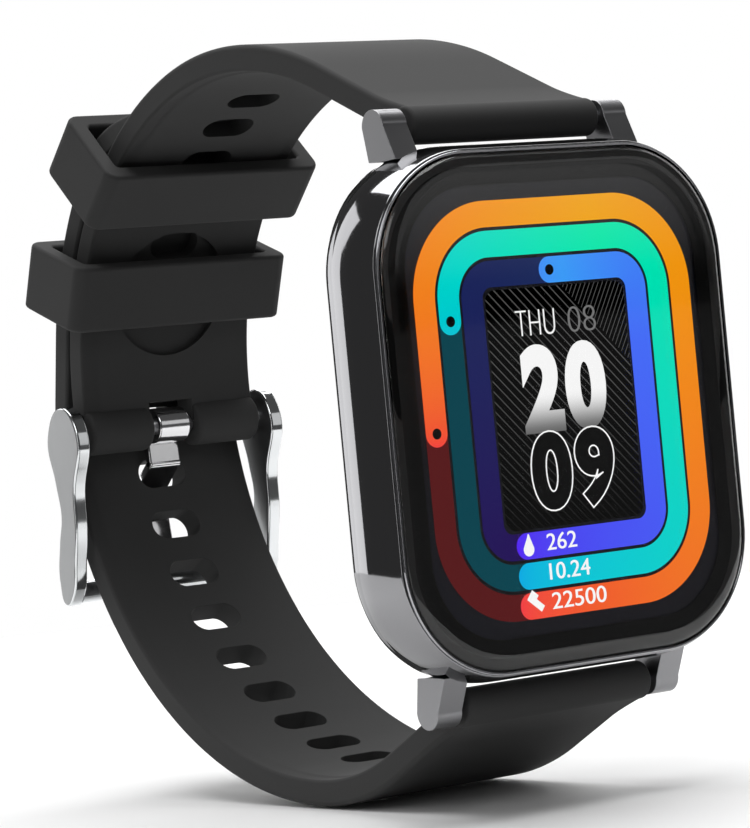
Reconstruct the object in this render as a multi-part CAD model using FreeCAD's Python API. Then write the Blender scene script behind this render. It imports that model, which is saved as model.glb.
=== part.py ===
import FreeCAD, Part
import math
import os

# A rectangular smartwatch on a closed silicone strap. Millimetres.
# +Z points to 12 o'clock, +X to the 3 o'clock side, and the display faces -Y.
# The origin is the centre of the sensor window's face, which rests on the wrist.

Vector = FreeCAD.Vector
X_AXIS, Y_AXIS, Z_AXIS = Vector(1, 0, 0), Vector(0, 1, 0), Vector(0, 0, 1)

# ---------------------------------------------------------------- driving dimensions
# fits
SLIP = 0.05                 # radial clearance of a running pin or stem
SEAT = 0.02                 # gap left between seated faces
LOOSE = 0.15                # gap beside loose internal parts

# case
CASE_WIDTH = 36.0
CASE_HEIGHT = 41.8
CASE_CORNER = 10.0
CASE_THICKNESS = 10.3       # glass front to back cover
WINDOW_PROUD = 1.2          # how far the sensor window stands out of the back cover
RIM_ROUND = 0.5             # rounding of the frame's front edge
FRAME_ROUND = 1.9           # rounding of the frame's rear edge
COVER_INSET = 2.0           # back cover inside the widest outline
COVER_ROUND = 2.2           # rounding of the back cover's outer edge
RIM_DEPTH = 0.8             # glass front to the frame's rim
BACK_COVER_DEPTH = 2.5      # depth of the back cover's shell
BACK_PLATE = 1.4
CASE_WALL = 2.4             # widest outline to the cavity
LEDGE_WIDTH = 0.3           # glass ledge, inside the cavity wall
LEDGE_THICKNESS = 0.8
WALL_BITE = 0.5             # how far a ledge or web is rooted in the case wall
LIP_GAP = 0.6               # cavity wall to the back cover's lip, where the seal sits
LIP_WALL = 1.0
LIP_HEIGHT = 1.1

# front
GLASS_INSET = 0.9
GLASS_THICKNESS = 1.1
GLASS_EDGE = 0.8            # height of the curved glass edge
BEZEL_RING = 0.3
BEZEL_PROUD = 0.3
GASKET_THICKNESS = 0.2
GASKET_WIDTH = 1.1
TOUCH_THICKNESS = 0.2
DISPLAY_THICKNESS = 1.4
DISPLAY_GAP = 0.3           # ledge to display

# lugs and spring bars
LUG_GAP = 20.0
LUG_WIDTH = 2.4
LUG_TIP_RADIUS = 1.35
LUG_SHOULDER = 0.5          # case edge to the root of the lug's front face
LUG_ROOT_DEPTH = 3.4        # glass front to the lug's front face
LUG_BACK_DEPTH = 6.9        # glass front to the lug's rear face
BAR_DEPTH = 6.0             # glass front to the spring bar's axis
BAR_OUT = 1.9               # case edge to the spring bar's axis
BAR_RADIUS = 0.85
BAR_WALL = 0.25
BAR_TIP_RADIUS = 0.45
BAR_TIP_REACH = 1.0         # tip's depth in the lug
BAR_END_GAP = 0.4           # spring bar's tube inside the strap's end
RELEASE_TRAVEL = 1.1
KNOB_RADIUS = 0.35
KNOB_INSET = 2.6            # tube's end to the knob
KNOB_PROUD = 0.25           # knob out of the strap's end
WIRE_RADIUS = 0.09
WIRE_GAP = 0.07             # spring to its tube
SPRING_TURNS = 9

# strap
STRAP_THICKNESS = 2.2
STRAP_WIDTH_LUG = 18.8
STRAP_WIDTH_BUCKLE = 18.0
STRAP_HUB_RADIUS = 1.55     # strap end around the spring bar
STRAP_EDGE = 0.5            # rounding of the strap's long edges
BUCKLE_TOP = 30.8           # height of the buckle strap's crown
BUCKLE_TOP_DEPTH = 18.8     # its distance behind the sensor window
HOLED_TOP = 30.1
HOLED_TOP_DEPTH = 14.4
LUG_RISE = 1.4              # steepness of the strap where it leaves the lugs
SLOT_LENGTH = 5.2
SLOT_WIDTH = 2.7
SLOT_PITCH = 5.08
BUCKLE_SLOT_PITCH = 4.8
BUCKLE_SLOT_DEPTH = 1.5     # the buckle strap's slots are blind pockets
BUCKLE_SLOTS = 6
BUCKLE_SLOT_START = 12.2    # arc length from the buckle pin's level to the first slot
HOLED_SLOTS_BELOW = 8       # slots between the tang slot and the lug
HOLED_SLOTS_ABOVE = 6       # slots in the tail
TANG_SLOT_DROP = 4.6        # buckle pin level to the tang slot, along the strap
TAIL_END_ANGLE = 55.0
TAIL_RAMP_RADIUS = 8.0
TAIL_TIP_RADIUS = 5.0
RECESS_RADIUS = 6.0
RECESS_DEPTH = 0.35
RECESS_ANGLE = 20.0

# buckle
PIN_DEPTH = 45.5            # buckle pin behind the sensor window
PIN_HEIGHT = 0.9
PIN_RADIUS = 0.75
ROLL_RADIUS = 2.05
NOTCH_WIDTH = 4.8
ARM_GAP = 19.6
ARM_THICKNESS = 1.3
ARM_HEAD_RADIUS = 2.45
ARM_WAIST = 2.5
BUCKLE_LENGTH = 14.1
PIN_COVER = 0.3             # steel left over the pin's end in the arm
WAIST_NEAR, WAIST_FAR, WAIST_CORNER = 6.35, 8.74, 9.87      # pin to the arm's waist and its outer corner
BUCKLE_BAR_RADIUS = 1.0
BUCKLE_PLAY = 0.4           # far bar to strap
TANG_WIDTH = 3.3
TANG_THICKNESS = 0.8
TANG_RING_RADIUS = 1.6
TANG_REACH = 0.65           # strap face to the tang's bends
TANG_RISE, TANG_DROP = 0.75, 1.05   # bends above and below the slot's centre
TANG_TIP = 1.2              # tang past the far bar

# keepers
KEEPER_HEIGHT = 5.9
KEEPER_WALL = 1.6
KEEPER_CORNER = 1.2
KEEPER_PLAY = 0.45
KEEPER_SIDE_PLAY = 0.65
LOWER_KEEPER_ANGLE = 21.0
UPPER_KEEPER_ANGLE = 44.3

# side button
BUTTON_LENGTH = 9.0
BUTTON_WIDTH = 3.0
BUTTON_PROUD = 0.9
BUTTON_DEPTH = 4.8          # glass front to the button's axis
BUTTON_TRAVEL = 0.4
BUTTON_CAP_SEAT = 0.65      # cap inside the case side
STEM_RADIUS = 0.8
STEM_REACH = 1.05           # stem inside the cavity wall
CLIP_RADIUS = 1.4
CLIP_THICKNESS = 0.3
GROOVE_DEPTH = 0.25
GROOVE_INSET = 0.5          # cavity wall to the seal's groove
CAP_ROUND = 0.4
SWITCH_WIDTH = 3.6
SWITCH_DEPTH = 1.6
SWITCH_LENGTH = 2.0
PLUNGER_RADIUS = 0.6
PLUNGER_LENGTH = 0.9
PLUNGER_SEAT = 0.35         # plunger inside the switch at rest

# inside
BOARD_THICKNESS = 0.8
BOARD_MARGIN = 2.0          # cavity wall to board
BOARD_GAP = 0.45            # display to board
CARRIER_GAP = 0.3           # cavity wall to carrier
CARRIER_WALL = 0.8
CARRIER_END_GAP = 0.1       # carrier to the back cover's lip
SHELF_THICKNESS = 0.5
SHELF_GAP = 1.2             # board to shelf
SHELF_HALF = 11.0
RIB_WIDTH = 2.0
LEFT_RIB_X, UPPER_RIB_Z, LOWER_RIB_Z = -8.0, 9.0, -11.4
BATTERY_HEIGHT = 20.0
BATTERY_THICKNESS = 2.5
BATTERY_MARGIN = 2.6        # cavity wall to battery
BATTERY_POST_GAP = 0.9      # screw post to battery, along Z
BATTERY_ROUND = 1.0
MOTOR_RADIUS = 3.2
MOTOR_THICKNESS = 2.4
MOTOR_Z = -6.5
MOTOR_GAP = 0.3             # battery to motor
# board parts: centre x, centre z, width, height and thickness
SHIELD = (-4.0, 7.0, 10.0, 10.0, 0.9)
PROCESSOR = (6.0, 9.0, 4.0, 4.0, 0.7)
MEMORY = (4.75, 2.5, 3.5, 3.0, 0.6)
CHARGER = (-5.5, -6.0, 5.0, 4.0, 0.8)
RADIO = (1.5, -6.0, 3.0, 2.0, 0.5)
ANTENNA_LENGTH, ANTENNA_HEIGHT, ANTENNA_THICKNESS = 16.0, 2.5, 0.2
FLEX_THICKNESS = 0.15
FLEX_WIDTH = 8.0
FLEX_TAB = 3.0
WINDOW_RADIUS = 8.5
WINDOW_THICKNESS = 1.5
WINDOW_LEDGE = 0.7
WINDOW_ROUND = 0.4
SENSOR_BOARD_THICKNESS = 0.28
SENSOR_BOARD_MARGIN = 0.3
BAFFLE_RADIUS = 2.9
BAFFLE_WALL = 0.6
LIGHT_SIZE, LIGHT_PLACE = 1.6, 1.1
DIODE_SIZE, DIODE_PLACE = 2.0, 5.0
SENSOR_GAP = 0.1            # lights and diodes to the window
SENSOR_FLEX_WIDTH = 3.0
SENSOR_FLEX_INSET = 1.5     # sensor window's edge to the battery, which the sensor flex runs beside
CONTACT_RADIUS = 0.9
CONTACT_LENGTH = 2.2
CONTACT_PITCH = 4.0
MAGNET_RADIUS = 1.7
MAGNET_THICKNESS = 1.4
MAGNET_PITCH = 12.4
CHARGE_Z = 14.0
SCREW_RADIUS = 0.7
SCREW_HEAD_RADIUS = 1.1
SCREW_HEAD_HEIGHT = 0.6
SCREW_LENGTH = 5.9
SCREW_INSET_X, SCREW_INSET_Z = 4.4, 3.4     # cavity wall to the screws' axes
CROSS_LENGTH, CROSS_WIDTH, CROSS_DEPTH = 1.4, 0.24, 0.35
POST_RADIUS = 1.7
POST_END_GAP = 1.3          # frame's posts to the rear split
WEB_X, WEB_Z = 1.9, 2.3     # how far the corner webs reach past the screws
SEAL_SECTION = 0.5
SEAL_PLACE = 0.9            # rear split to the back gasket

# ---------------------------------------------------------------- places that follow
WRIST = 0.0
BACK = WRIST - WINDOW_PROUD
FRONT = BACK - CASE_THICKNESS
RIM = FRONT + RIM_DEPTH
SPLIT = BACK - BACK_COVER_DEPTH
GLASS_BACK = FRONT + GLASS_THICKNESS
LEDGE = GLASS_BACK + GASKET_THICKNESS
DISPLAY_FRONT = GLASS_BACK + TOUCH_THICKNESS
DISPLAY_BACK = DISPLAY_FRONT + DISPLAY_THICKNESS
BOARD_FRONT = DISPLAY_BACK + BOARD_GAP
BOARD_BACK = BOARD_FRONT + BOARD_THICKNESS
SHELF_FRONT = BOARD_BACK + SHELF_GAP
SHELF_BACK = SHELF_FRONT + SHELF_THICKNESS
PLATE_FRONT = BACK - BACK_PLATE
BUTTON_Y = FRONT + BUTTON_DEPTH
HALF_WIDTH = CASE_WIDTH / 2
HALF_HEIGHT = CASE_HEIGHT / 2
CAVITY_X = HALF_WIDTH - CASE_WALL
CAVITY_Z = HALF_HEIGHT - CASE_WALL
LEDGE_INSET = CASE_WALL + LEDGE_WIDTH
DISPLAY_INSET = LEDGE_INSET + DISPLAY_GAP
BOARD_INSET = CASE_WALL + BOARD_MARGIN
CARRIER_INSET = CASE_WALL + CARRIER_GAP
LIP_INSET = CASE_WALL + LIP_GAP
SCREW_X, SCREW_Z = CAVITY_X - SCREW_INSET_X, CAVITY_Z - SCREW_INSET_Z
BATTERY_LEFT, BATTERY_RIGHT = BATTERY_MARGIN - CAVITY_X, WINDOW_RADIUS - SENSOR_FLEX_INSET
MOTOR_X = BATTERY_RIGHT + MOTOR_GAP + MOTOR_RADIUS
BATTERY_LOW = BATTERY_POST_GAP + POST_RADIUS - SCREW_Z
LUG_IN = LUG_GAP / 2
LUG_OUT = LUG_IN + LUG_WIDTH
BAR_Y = FRONT + BAR_DEPTH
BAR_Z = HALF_HEIGHT + BAR_OUT
BAR_HALF = STRAP_WIDTH_LUG / 2 - BAR_END_GAP
BAR_BORE = BAR_RADIUS + SLIP
PIN = (PIN_DEPTH, PIN_HEIGHT)


# ---------------------------------------------------------------- solids
def block(x, y, z):
    """A box from three (low, high) pairs."""
    return Part.makeBox(x[1] - x[0], y[1] - y[0], z[1] - z[0], Vector(x[0], y[0], z[0]))


def rod_x(y, z, radius, low, high):
    """A cylinder along X between two x values."""
    return Part.makeCylinder(radius, high - low, Vector(low, y, z), X_AXIS)


def rod_y(x, z, radius, low, high):
    """A cylinder along Y between two y values."""
    return Part.makeCylinder(radius, high - low, Vector(x, low, z), Y_AXIS)


def outline_prism(inset, low, high):
    """The case outline, inset, as a prism along Y."""
    half_x = HALF_WIDTH - inset
    half_z = HALF_HEIGHT - inset
    radius = CASE_CORNER - inset
    prism = block((-half_x, half_x), (low, high), (-half_z, half_z))
    corners = [e for e in prism.Edges if abs(e.tangentAt(e.FirstParameter).y) > 0.9]
    return prism.makeFillet(radius, corners)


def outline_ring(outer_inset, inner_inset, low, high):
    """A ring between two insets of the case outline."""
    return outline_prism(outer_inset, low, high).cut(outline_prism(inner_inset, low - 1, high + 1))


def rounded_at(shape, depth, radius):
    """Rounds every edge that lies in the plane y = depth."""
    edges = [e for e in shape.Edges
             if abs(e.BoundBox.YMin - depth) < 1e-6 and abs(e.BoundBox.YMax - depth) < 1e-6]
    return shape.makeFillet(radius, edges)


def tangent_points(y, z, centre, radius):
    """The two points where lines from (y, z) touch a circle."""
    dy, dz = y - centre[0], z - centre[1]
    distance = math.hypot(dy, dz)
    base, spread = math.atan2(dz, dy), math.acos(radius / distance)
    turns = (base - spread, base + spread)
    return [(centre[0] + radius * math.cos(turn), centre[1] + radius * math.sin(turn)) for turn in turns]


def box_at(place, low):
    """A board part that stands on a plane, from its centre, size and thickness."""
    x, z, width, height, thickness = place
    return block((x - width / 2, x + width / 2), (low, low + thickness), (z - height / 2, z + height / 2))


def plate(points, low, high):
    """A flat plate normal to X from a list of (y, z) corners."""
    corners = [Vector(low, y, z) for y, z in points]
    face = Part.Face(Part.makePolygon(corners + corners[:1]))
    return face.extrude(Vector(high - low, 0, 0))


def both_sides(shape):
    """The shape and its mirror image across the middle plane x = 0."""
    return shape.fuse(shape.mirror(Vector(0, 0, 0), X_AXIS))


def save(name, *solids):
    """Writes one node; a node of several solids is a compound."""
    shape = solids[0] if len(solids) == 1 else Part.makeCompound(list(solids))
    if not shape.isValid():
        raise ValueError(name + " is not a valid solid")
    shape.exportStep(os.path.join("parts", name + ".step"))


# ---------------------------------------------------------------- strap paths
class StrapPath:
    """A smooth run of lines and arcs in the Y-Z plane; side is +1 for a path that turns right."""

    def __init__(self, point, heading, side):
        self.point, self.heading, self.side = point, heading, side
        self.runs = []

    def line(self, length):
        """Goes straight on."""
        start = self.point
        self.point = (start[0] + length * math.cos(self.heading), start[1] + length * math.sin(self.heading))
        self.runs.append(("line", start, self.heading, length, None))

    def arc(self, radius, turn):
        """Turns towards the wrist by an angle in radians."""
        start, heading = self.point, self.heading
        centre = self.aside(start, heading, -radius)
        self.heading = heading - self.side * turn
        self.point = self.aside(centre, self.heading, radius)
        self.runs.append(("arc", start, heading, radius * turn, radius))

    def aside(self, point, heading, distance):
        """A point moved away from the wrist."""
        return (point[0] - self.side * distance * math.sin(heading),
                point[1] + self.side * distance * math.cos(heading))

    def at(self, distance):
        """Point and heading at a distance along the path."""
        for kind, start, heading, length, radius in self.runs:
            if distance <= length + 1e-9:
                break
            distance -= length
        if kind == "line":
            return (start[0] + distance * math.cos(heading), start[1] + distance * math.sin(heading)), heading
        centre = self.aside(start, heading, -radius)
        turned = heading - self.side * distance / radius
        return self.aside(centre, turned, radius), turned

    def length(self):
        """Whole length of the path."""
        return sum(run[3] for run in self.runs)

    def edge_run(self, offset):
        """Edges of the path moved away from the wrist by an offset."""
        edges, travelled = [], 0.0
        for kind, start, heading, length, radius in self.runs:
            places = [self.at(travelled + length * part) for part in (0, 0.5, 1)]
            if kind == "arc":
                places = [(start, heading), self.at(travelled + length / 2), self.at(travelled + length)]
            points = [Vector(0, *self.aside(point, turned, offset)) for point, turned in places]
            if kind == "line":
                edges.append(Part.makeLine(points[0], points[2]))
            else:
                edges.append(Part.Arc(*points).toShape())
            travelled += length
        return edges

    def strip(self, inner, outer, half_width):
        """A strap of constant section along the path."""
        inside, outside = self.edge_run(inner), self.edge_run(outer)
        caps = [Part.makeLine(inside[0].Vertexes[0].Point, outside[0].Vertexes[0].Point),
                Part.makeLine(inside[-1].Vertexes[-1].Point, outside[-1].Vertexes[-1].Point)]
        face = Part.Face(Part.Wire(Part.__sortEdges__(inside + outside + caps)))
        face.translate(Vector(-half_width, 0, 0))
        return face.extrude(Vector(2 * half_width, 0, 0))


def crown_path(side, top, top_depth, target):
    """From a spring bar over the strap's crown and on to the target, side +1 up or -1 down."""
    rise, run = top - BAR_Z, top_depth - BAR_Y
    slope = math.atan(LUG_RISE * rise / run)
    bend = (LUG_RISE - 1) * rise / (1 / math.cos(slope) - 1)
    path = StrapPath((BAR_Y, side * BAR_Z), side * slope, side)
    path.line((run - bend * math.sin(slope)) / math.cos(slope))
    path.arc(bend, slope)
    drop, reach = top - side * target[1], target[0] - top_depth
    radius = (reach ** 2 + drop ** 2) / (2 * drop)
    path.arc(radius, math.atan2(reach, radius - drop) % (2 * math.pi))
    return path, (top_depth, side * (top - radius)), radius


def strap_taper():
    """The straps' plan: a wedge that narrows from the lugs to the buckle, as a prism along Z."""
    def half_width(depth):
        share = (depth - BAR_Y) / (PIN_DEPTH - BAR_Y)
        return (STRAP_WIDTH_LUG + share * (STRAP_WIDTH_BUCKLE - STRAP_WIDTH_LUG)) / 2

    near, far = FRONT, PIN_DEPTH + 4 * ROLL_RADIUS
    tall = 4 * BUCKLE_TOP
    points = [Vector(-half_width(near), near, -tall / 2), Vector(half_width(near), near, -tall / 2),
              Vector(half_width(far), far, -tall / 2), Vector(-half_width(far), far, -tall / 2)]
    return Part.Face(Part.makePolygon(points + points[:1])).extrude(Vector(0, 0, tall))


def slot_cutter(path, distance, low, high):
    """A stadium-shaped punch, long across the strap, between two offsets from the path."""
    (y, z), heading = path.at(distance)
    reach = (SLOT_LENGTH - SLOT_WIDTH) / 2
    depth = high - low
    base = path.aside((y, z), heading, low)
    tip = path.aside((y, z), heading, high)
    axis = Vector(0, tip[0] - base[0], tip[1] - base[1])
    ends = [Part.makeCylinder(SLOT_WIDTH / 2, depth, Vector(x, *base), axis) for x in (-reach, reach)]
    along = Vector(0, math.cos(heading), math.sin(heading)) * (SLOT_WIDTH / 2)
    centre = Vector(0, *base)
    corners = [centre + along + X_AXIS * reach, centre - along + X_AXIS * reach,
               centre - along - X_AXIS * reach, centre + along - X_AXIS * reach]
    middle = Part.Face(Part.makePolygon(corners + corners[:1])).extrude(axis.normalize() * depth)
    return ends[0].fuse([ends[1], middle])


def strap_hub(side):
    """The strap's end around its spring bar."""
    return rod_x(BAR_Y, side * BAR_Z, STRAP_HUB_RADIUS, -STRAP_WIDTH_LUG / 2, STRAP_WIDTH_LUG / 2)


def bar_cutter(side):
    """The bore for the spring bar's tube and the notch that the release knob moves in."""
    bore = rod_x(BAR_Y, side * BAR_Z, BAR_BORE, -STRAP_WIDTH_LUG, STRAP_WIDTH_LUG)
    notch = block((KNOB_X - RELEASE_TRAVEL - 2 * KNOB_RADIUS, KNOB_X + 3 * KNOB_RADIUS),
                  (BAR_Y, BAR_Y + 2 * STRAP_HUB_RADIUS),
                  (side * BAR_Z - 2 * KNOB_RADIUS, side * BAR_Z + 2 * KNOB_RADIUS))
    return bore.fuse(notch)


def rounded_long_edges(shape, radius):
    """Rounds the strap's long edges, which lie along its two sides."""
    edges = []
    for edge in shape.Edges:
        box = edge.BoundBox
        middle = edge.valueAt((edge.FirstParameter + edge.LastParameter) / 2)
        along_side = box.XLength < 0.6 and abs(middle.x) > STRAP_WIDTH_BUCKLE / 2 - 1.0
        if along_side and edge.Length > 2 * STRAP_THICKNESS and middle.y > BAR_Y + 3 * STRAP_HUB_RADIUS:
            edges.append(edge)
    return shape.makeFillet(radius, edges)


HALF_STRAP = STRAP_THICKNESS / 2
TAIL_LEVEL = (PIN_DEPTH + ROLL_RADIUS + LOOSE + HALF_STRAP, PIN_HEIGHT)
KNOB_X = BAR_HALF - KNOB_INSET
BUCKLE_PATH, ARC_CENTRE, ARC_RADIUS = crown_path(1, BUCKLE_TOP, BUCKLE_TOP_DEPTH, PIN)
HOLED_PATH, HOLED_CENTRE, HOLED_RADIUS = crown_path(-1, HOLED_TOP, HOLED_TOP_DEPTH, TAIL_LEVEL)
PIN_TRAVEL = BUCKLE_PATH.length()
TAIL_TRAVEL = HOLED_PATH.length()
TAIL_RADIUS = ARC_RADIUS + STRAP_THICKNESS + LOOSE


def add_tail(path):
    """Carries the holed strap on around the roll and then along the outside of the buckle strap."""
    ramp_centre = path.aside(path.point, path.heading, -TAIL_RAMP_RADIUS)
    dy, dz = ARC_CENTRE[0] - ramp_centre[0], ARC_CENTRE[1] - ramp_centre[1]
    apart = math.hypot(dy, dz)
    lean = math.asin((TAIL_RADIUS - TAIL_RAMP_RADIUS) / apart)
    heading = math.atan2(dz, dy) - lean
    path.arc(TAIL_RAMP_RADIUS, heading - path.heading)
    path.line(apart * math.cos(lean))
    path.arc(TAIL_RADIUS, math.radians(90 + TAIL_END_ANGLE) - heading)


add_tail(HOLED_PATH)


def on_arc(radius, degrees):
    """A point around the centre of the buckle strap's arc."""
    turn = math.radians(degrees)
    return ARC_CENTRE[0] + radius * math.cos(turn), ARC_CENTRE[1] + radius * math.sin(turn)


# ---------------------------------------------------------------- case
def make_lugs():
    """Four lugs with blind holes for the spring bars' tips."""
    bar = (BAR_Y, BAR_Z)
    root_z = CAVITY_Z
    front, back = FRONT + LUG_ROOT_DEPTH, FRONT + LUG_BACK_DEPTH
    shoulder = HALF_HEIGHT - LUG_SHOULDER
    touch_front = tangent_points(front, shoulder, bar, LUG_TIP_RADIUS)[1]
    touch_back = tangent_points(back, root_z, bar, LUG_TIP_RADIUS)[0]
    if touch_front[0] > bar[0]:
        touch_front = tangent_points(front, shoulder, bar, LUG_TIP_RADIUS)[0]
    if touch_back[0] < bar[0]:
        touch_back = tangent_points(back, root_z, bar, LUG_TIP_RADIUS)[1]
    corners = [(front, root_z), (front, shoulder), touch_front, bar, touch_back, (back, root_z)]
    web = plate(corners, LUG_IN, LUG_OUT)
    lug = web.fuse(rod_x(*bar, LUG_TIP_RADIUS, LUG_IN, LUG_OUT))
    lug = lug.cut(rod_x(*bar, BAR_TIP_RADIUS + SLIP, LUG_IN - 1, LUG_IN + BAR_TIP_REACH + LOOSE))
    upper = both_sides(lug)
    return upper.fuse(upper.mirror(Vector(0, 0, 0), Z_AXIS))


def button_shape(low, high, grow=0.0):
    """The button's pill outline as a prism along X."""
    radius = BUTTON_WIDTH / 2 + grow
    reach = (BUTTON_LENGTH - BUTTON_WIDTH) / 2
    ends = [rod_x(BUTTON_Y, z, radius, low, high) for z in (-reach, reach)]
    middle = block((low, high), (BUTTON_Y - radius, BUTTON_Y + radius), (-reach, reach))
    return middle.fuse(ends)


def screw_places():
    """Centres of the four case screws."""
    return [(sx * SCREW_X, sz * SCREW_Z) for sx in (-1, 1) for sz in (-1, 1)]


def make_case():
    """Frame, bezel ring, glass, its gasket, the back cover with its seal, and the screws."""
    frame = outline_prism(0, RIM, SPLIT)
    frame = rounded_at(frame, RIM, RIM_ROUND)
    frame = rounded_at(frame, SPLIT, FRAME_ROUND)
    frame = frame.fuse(make_lugs())
    frame = frame.cut(outline_prism(CASE_WALL, RIM - 1, SPLIT + 1))
    frame = frame.fuse(outline_ring(CASE_WALL - WALL_BITE, LEDGE_INSET, LEDGE, LEDGE + LEDGE_THICKNESS))
    frame = frame.cut(outline_prism(GLASS_INSET - BEZEL_RING - SEAT, RIM - 1, LEDGE))
    low, high = BOARD_BACK + LOOSE, SPLIT - POST_END_GAP
    posts = [rod_y(x, z, POST_RADIUS, low, high) for x, z in screw_places()]
    web = outline_ring(CASE_WALL - WALL_BITE, CASE_WALL + 2 * POST_RADIUS, low, high)
    middle_x, middle_z = SCREW_X - WEB_X, SCREW_Z - WEB_Z
    web = web.cut([block((-middle_x, middle_x), (RIM, SPLIT), (-CASE_HEIGHT, CASE_HEIGHT)),
                   block((-CASE_WIDTH, CASE_WIDTH), (RIM, SPLIT), (-middle_z, middle_z))])
    frame = frame.fuse([web] + posts)
    frame = frame.cut([rod_y(x, z, SCREW_RADIUS, BOARD_BACK, SPLIT) for x, z in screw_places()])
    frame = frame.cut(button_shape(HALF_WIDTH - BUTTON_CAP_SEAT - BUTTON_TRAVEL - SLIP, HALF_WIDTH + 1, SLIP))
    frame = frame.cut(rod_x(BUTTON_Y, 0, STEM_RADIUS + SLIP, CAVITY_X - 1, HALF_WIDTH + 1))
    save("case_frame", frame.removeSplitter())

    ring = outline_ring(GLASS_INSET - BEZEL_RING, GLASS_INSET - SEAT, RIM - BEZEL_PROUD, LEDGE - SEAT)
    save("front_bezel", ring)
    glass = rounded_at(outline_prism(GLASS_INSET, FRONT, GLASS_BACK), FRONT, GLASS_EDGE)
    save("cover_glass", glass)
    save("glass_gasket", outline_ring(GLASS_INSET, GLASS_INSET + GASKET_WIDTH, GLASS_BACK, LEDGE))

    cover = rounded_at(outline_prism(COVER_INSET, SPLIT, BACK), BACK, COVER_ROUND)
    cover = cover.cut(outline_prism(LIP_INSET + LIP_WALL, SPLIT - 1, PLATE_FRONT))
    lip = outline_ring(LIP_INSET, LIP_INSET + LIP_WALL, SPLIT - LIP_HEIGHT, SPLIT)
    bosses = [rod_y(x, z, POST_RADIUS, SPLIT - LIP_HEIGHT, PLATE_FRONT) for x, z in screw_places()]
    bosses = Part.makeCompound(bosses).common(outline_prism(LIP_INSET, SPLIT - 2 * LIP_HEIGHT, BACK))
    cover = cover.fuse([lip] + bosses.Solids)
    cover = cover.cut([rod_y(x, z, SCREW_RADIUS + SLIP, BOARD_BACK, BACK + 1) for x, z in screw_places()])
    cover = cover.cut([rod_y(x, z, SCREW_HEAD_RADIUS + SLIP, BACK - SCREW_HEAD_HEIGHT, BACK + 1)
                       for x, z in screw_places()])
    cover = cover.cut(rod_y(0, 0, WINDOW_RADIUS + SLIP, WRIST - WINDOW_THICKNESS, BACK + 1))
    cover = cover.cut(rod_y(0, 0, WINDOW_RADIUS - WINDOW_LEDGE, PLATE_FRONT - 1, BACK + 1))
    cover = cover.cut([rod_y(x, CHARGE_Z, CONTACT_RADIUS, SPLIT - 1, BACK + 1)
                       for x in (-CONTACT_PITCH / 2, CONTACT_PITCH / 2)])
    cover = cover.cut([rod_y(x, CHARGE_Z, MAGNET_RADIUS, SPLIT, PLATE_FRONT + MAGNET_THICKNESS / 2)
                       for x in (-MAGNET_PITCH / 2, MAGNET_PITCH / 2)])
    save("back_cover", cover.removeSplitter())
    seal = SPLIT - SEAL_PLACE
    save("back_gasket", outline_ring(CASE_WALL + SEAT, LIP_INSET - SEAT, seal, seal + SEAL_SECTION))

    screws = []
    for x, z in screw_places():
        head = rod_y(x, z, SCREW_HEAD_RADIUS, BACK - SCREW_HEAD_HEIGHT, BACK - SEAT)
        shank = rod_y(x, z, SCREW_RADIUS, BACK - SCREW_LENGTH, BACK - SCREW_HEAD_HEIGHT)
        cross = [box_at((x, z, CROSS_LENGTH, CROSS_WIDTH, CROSS_DEPTH), BACK - CROSS_DEPTH),
                 box_at((x, z, CROSS_WIDTH, CROSS_LENGTH, CROSS_DEPTH), BACK - CROSS_DEPTH)]
        screws.append(head.fuse(shank).cut(cross))
    save("case_screws", *screws)


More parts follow.
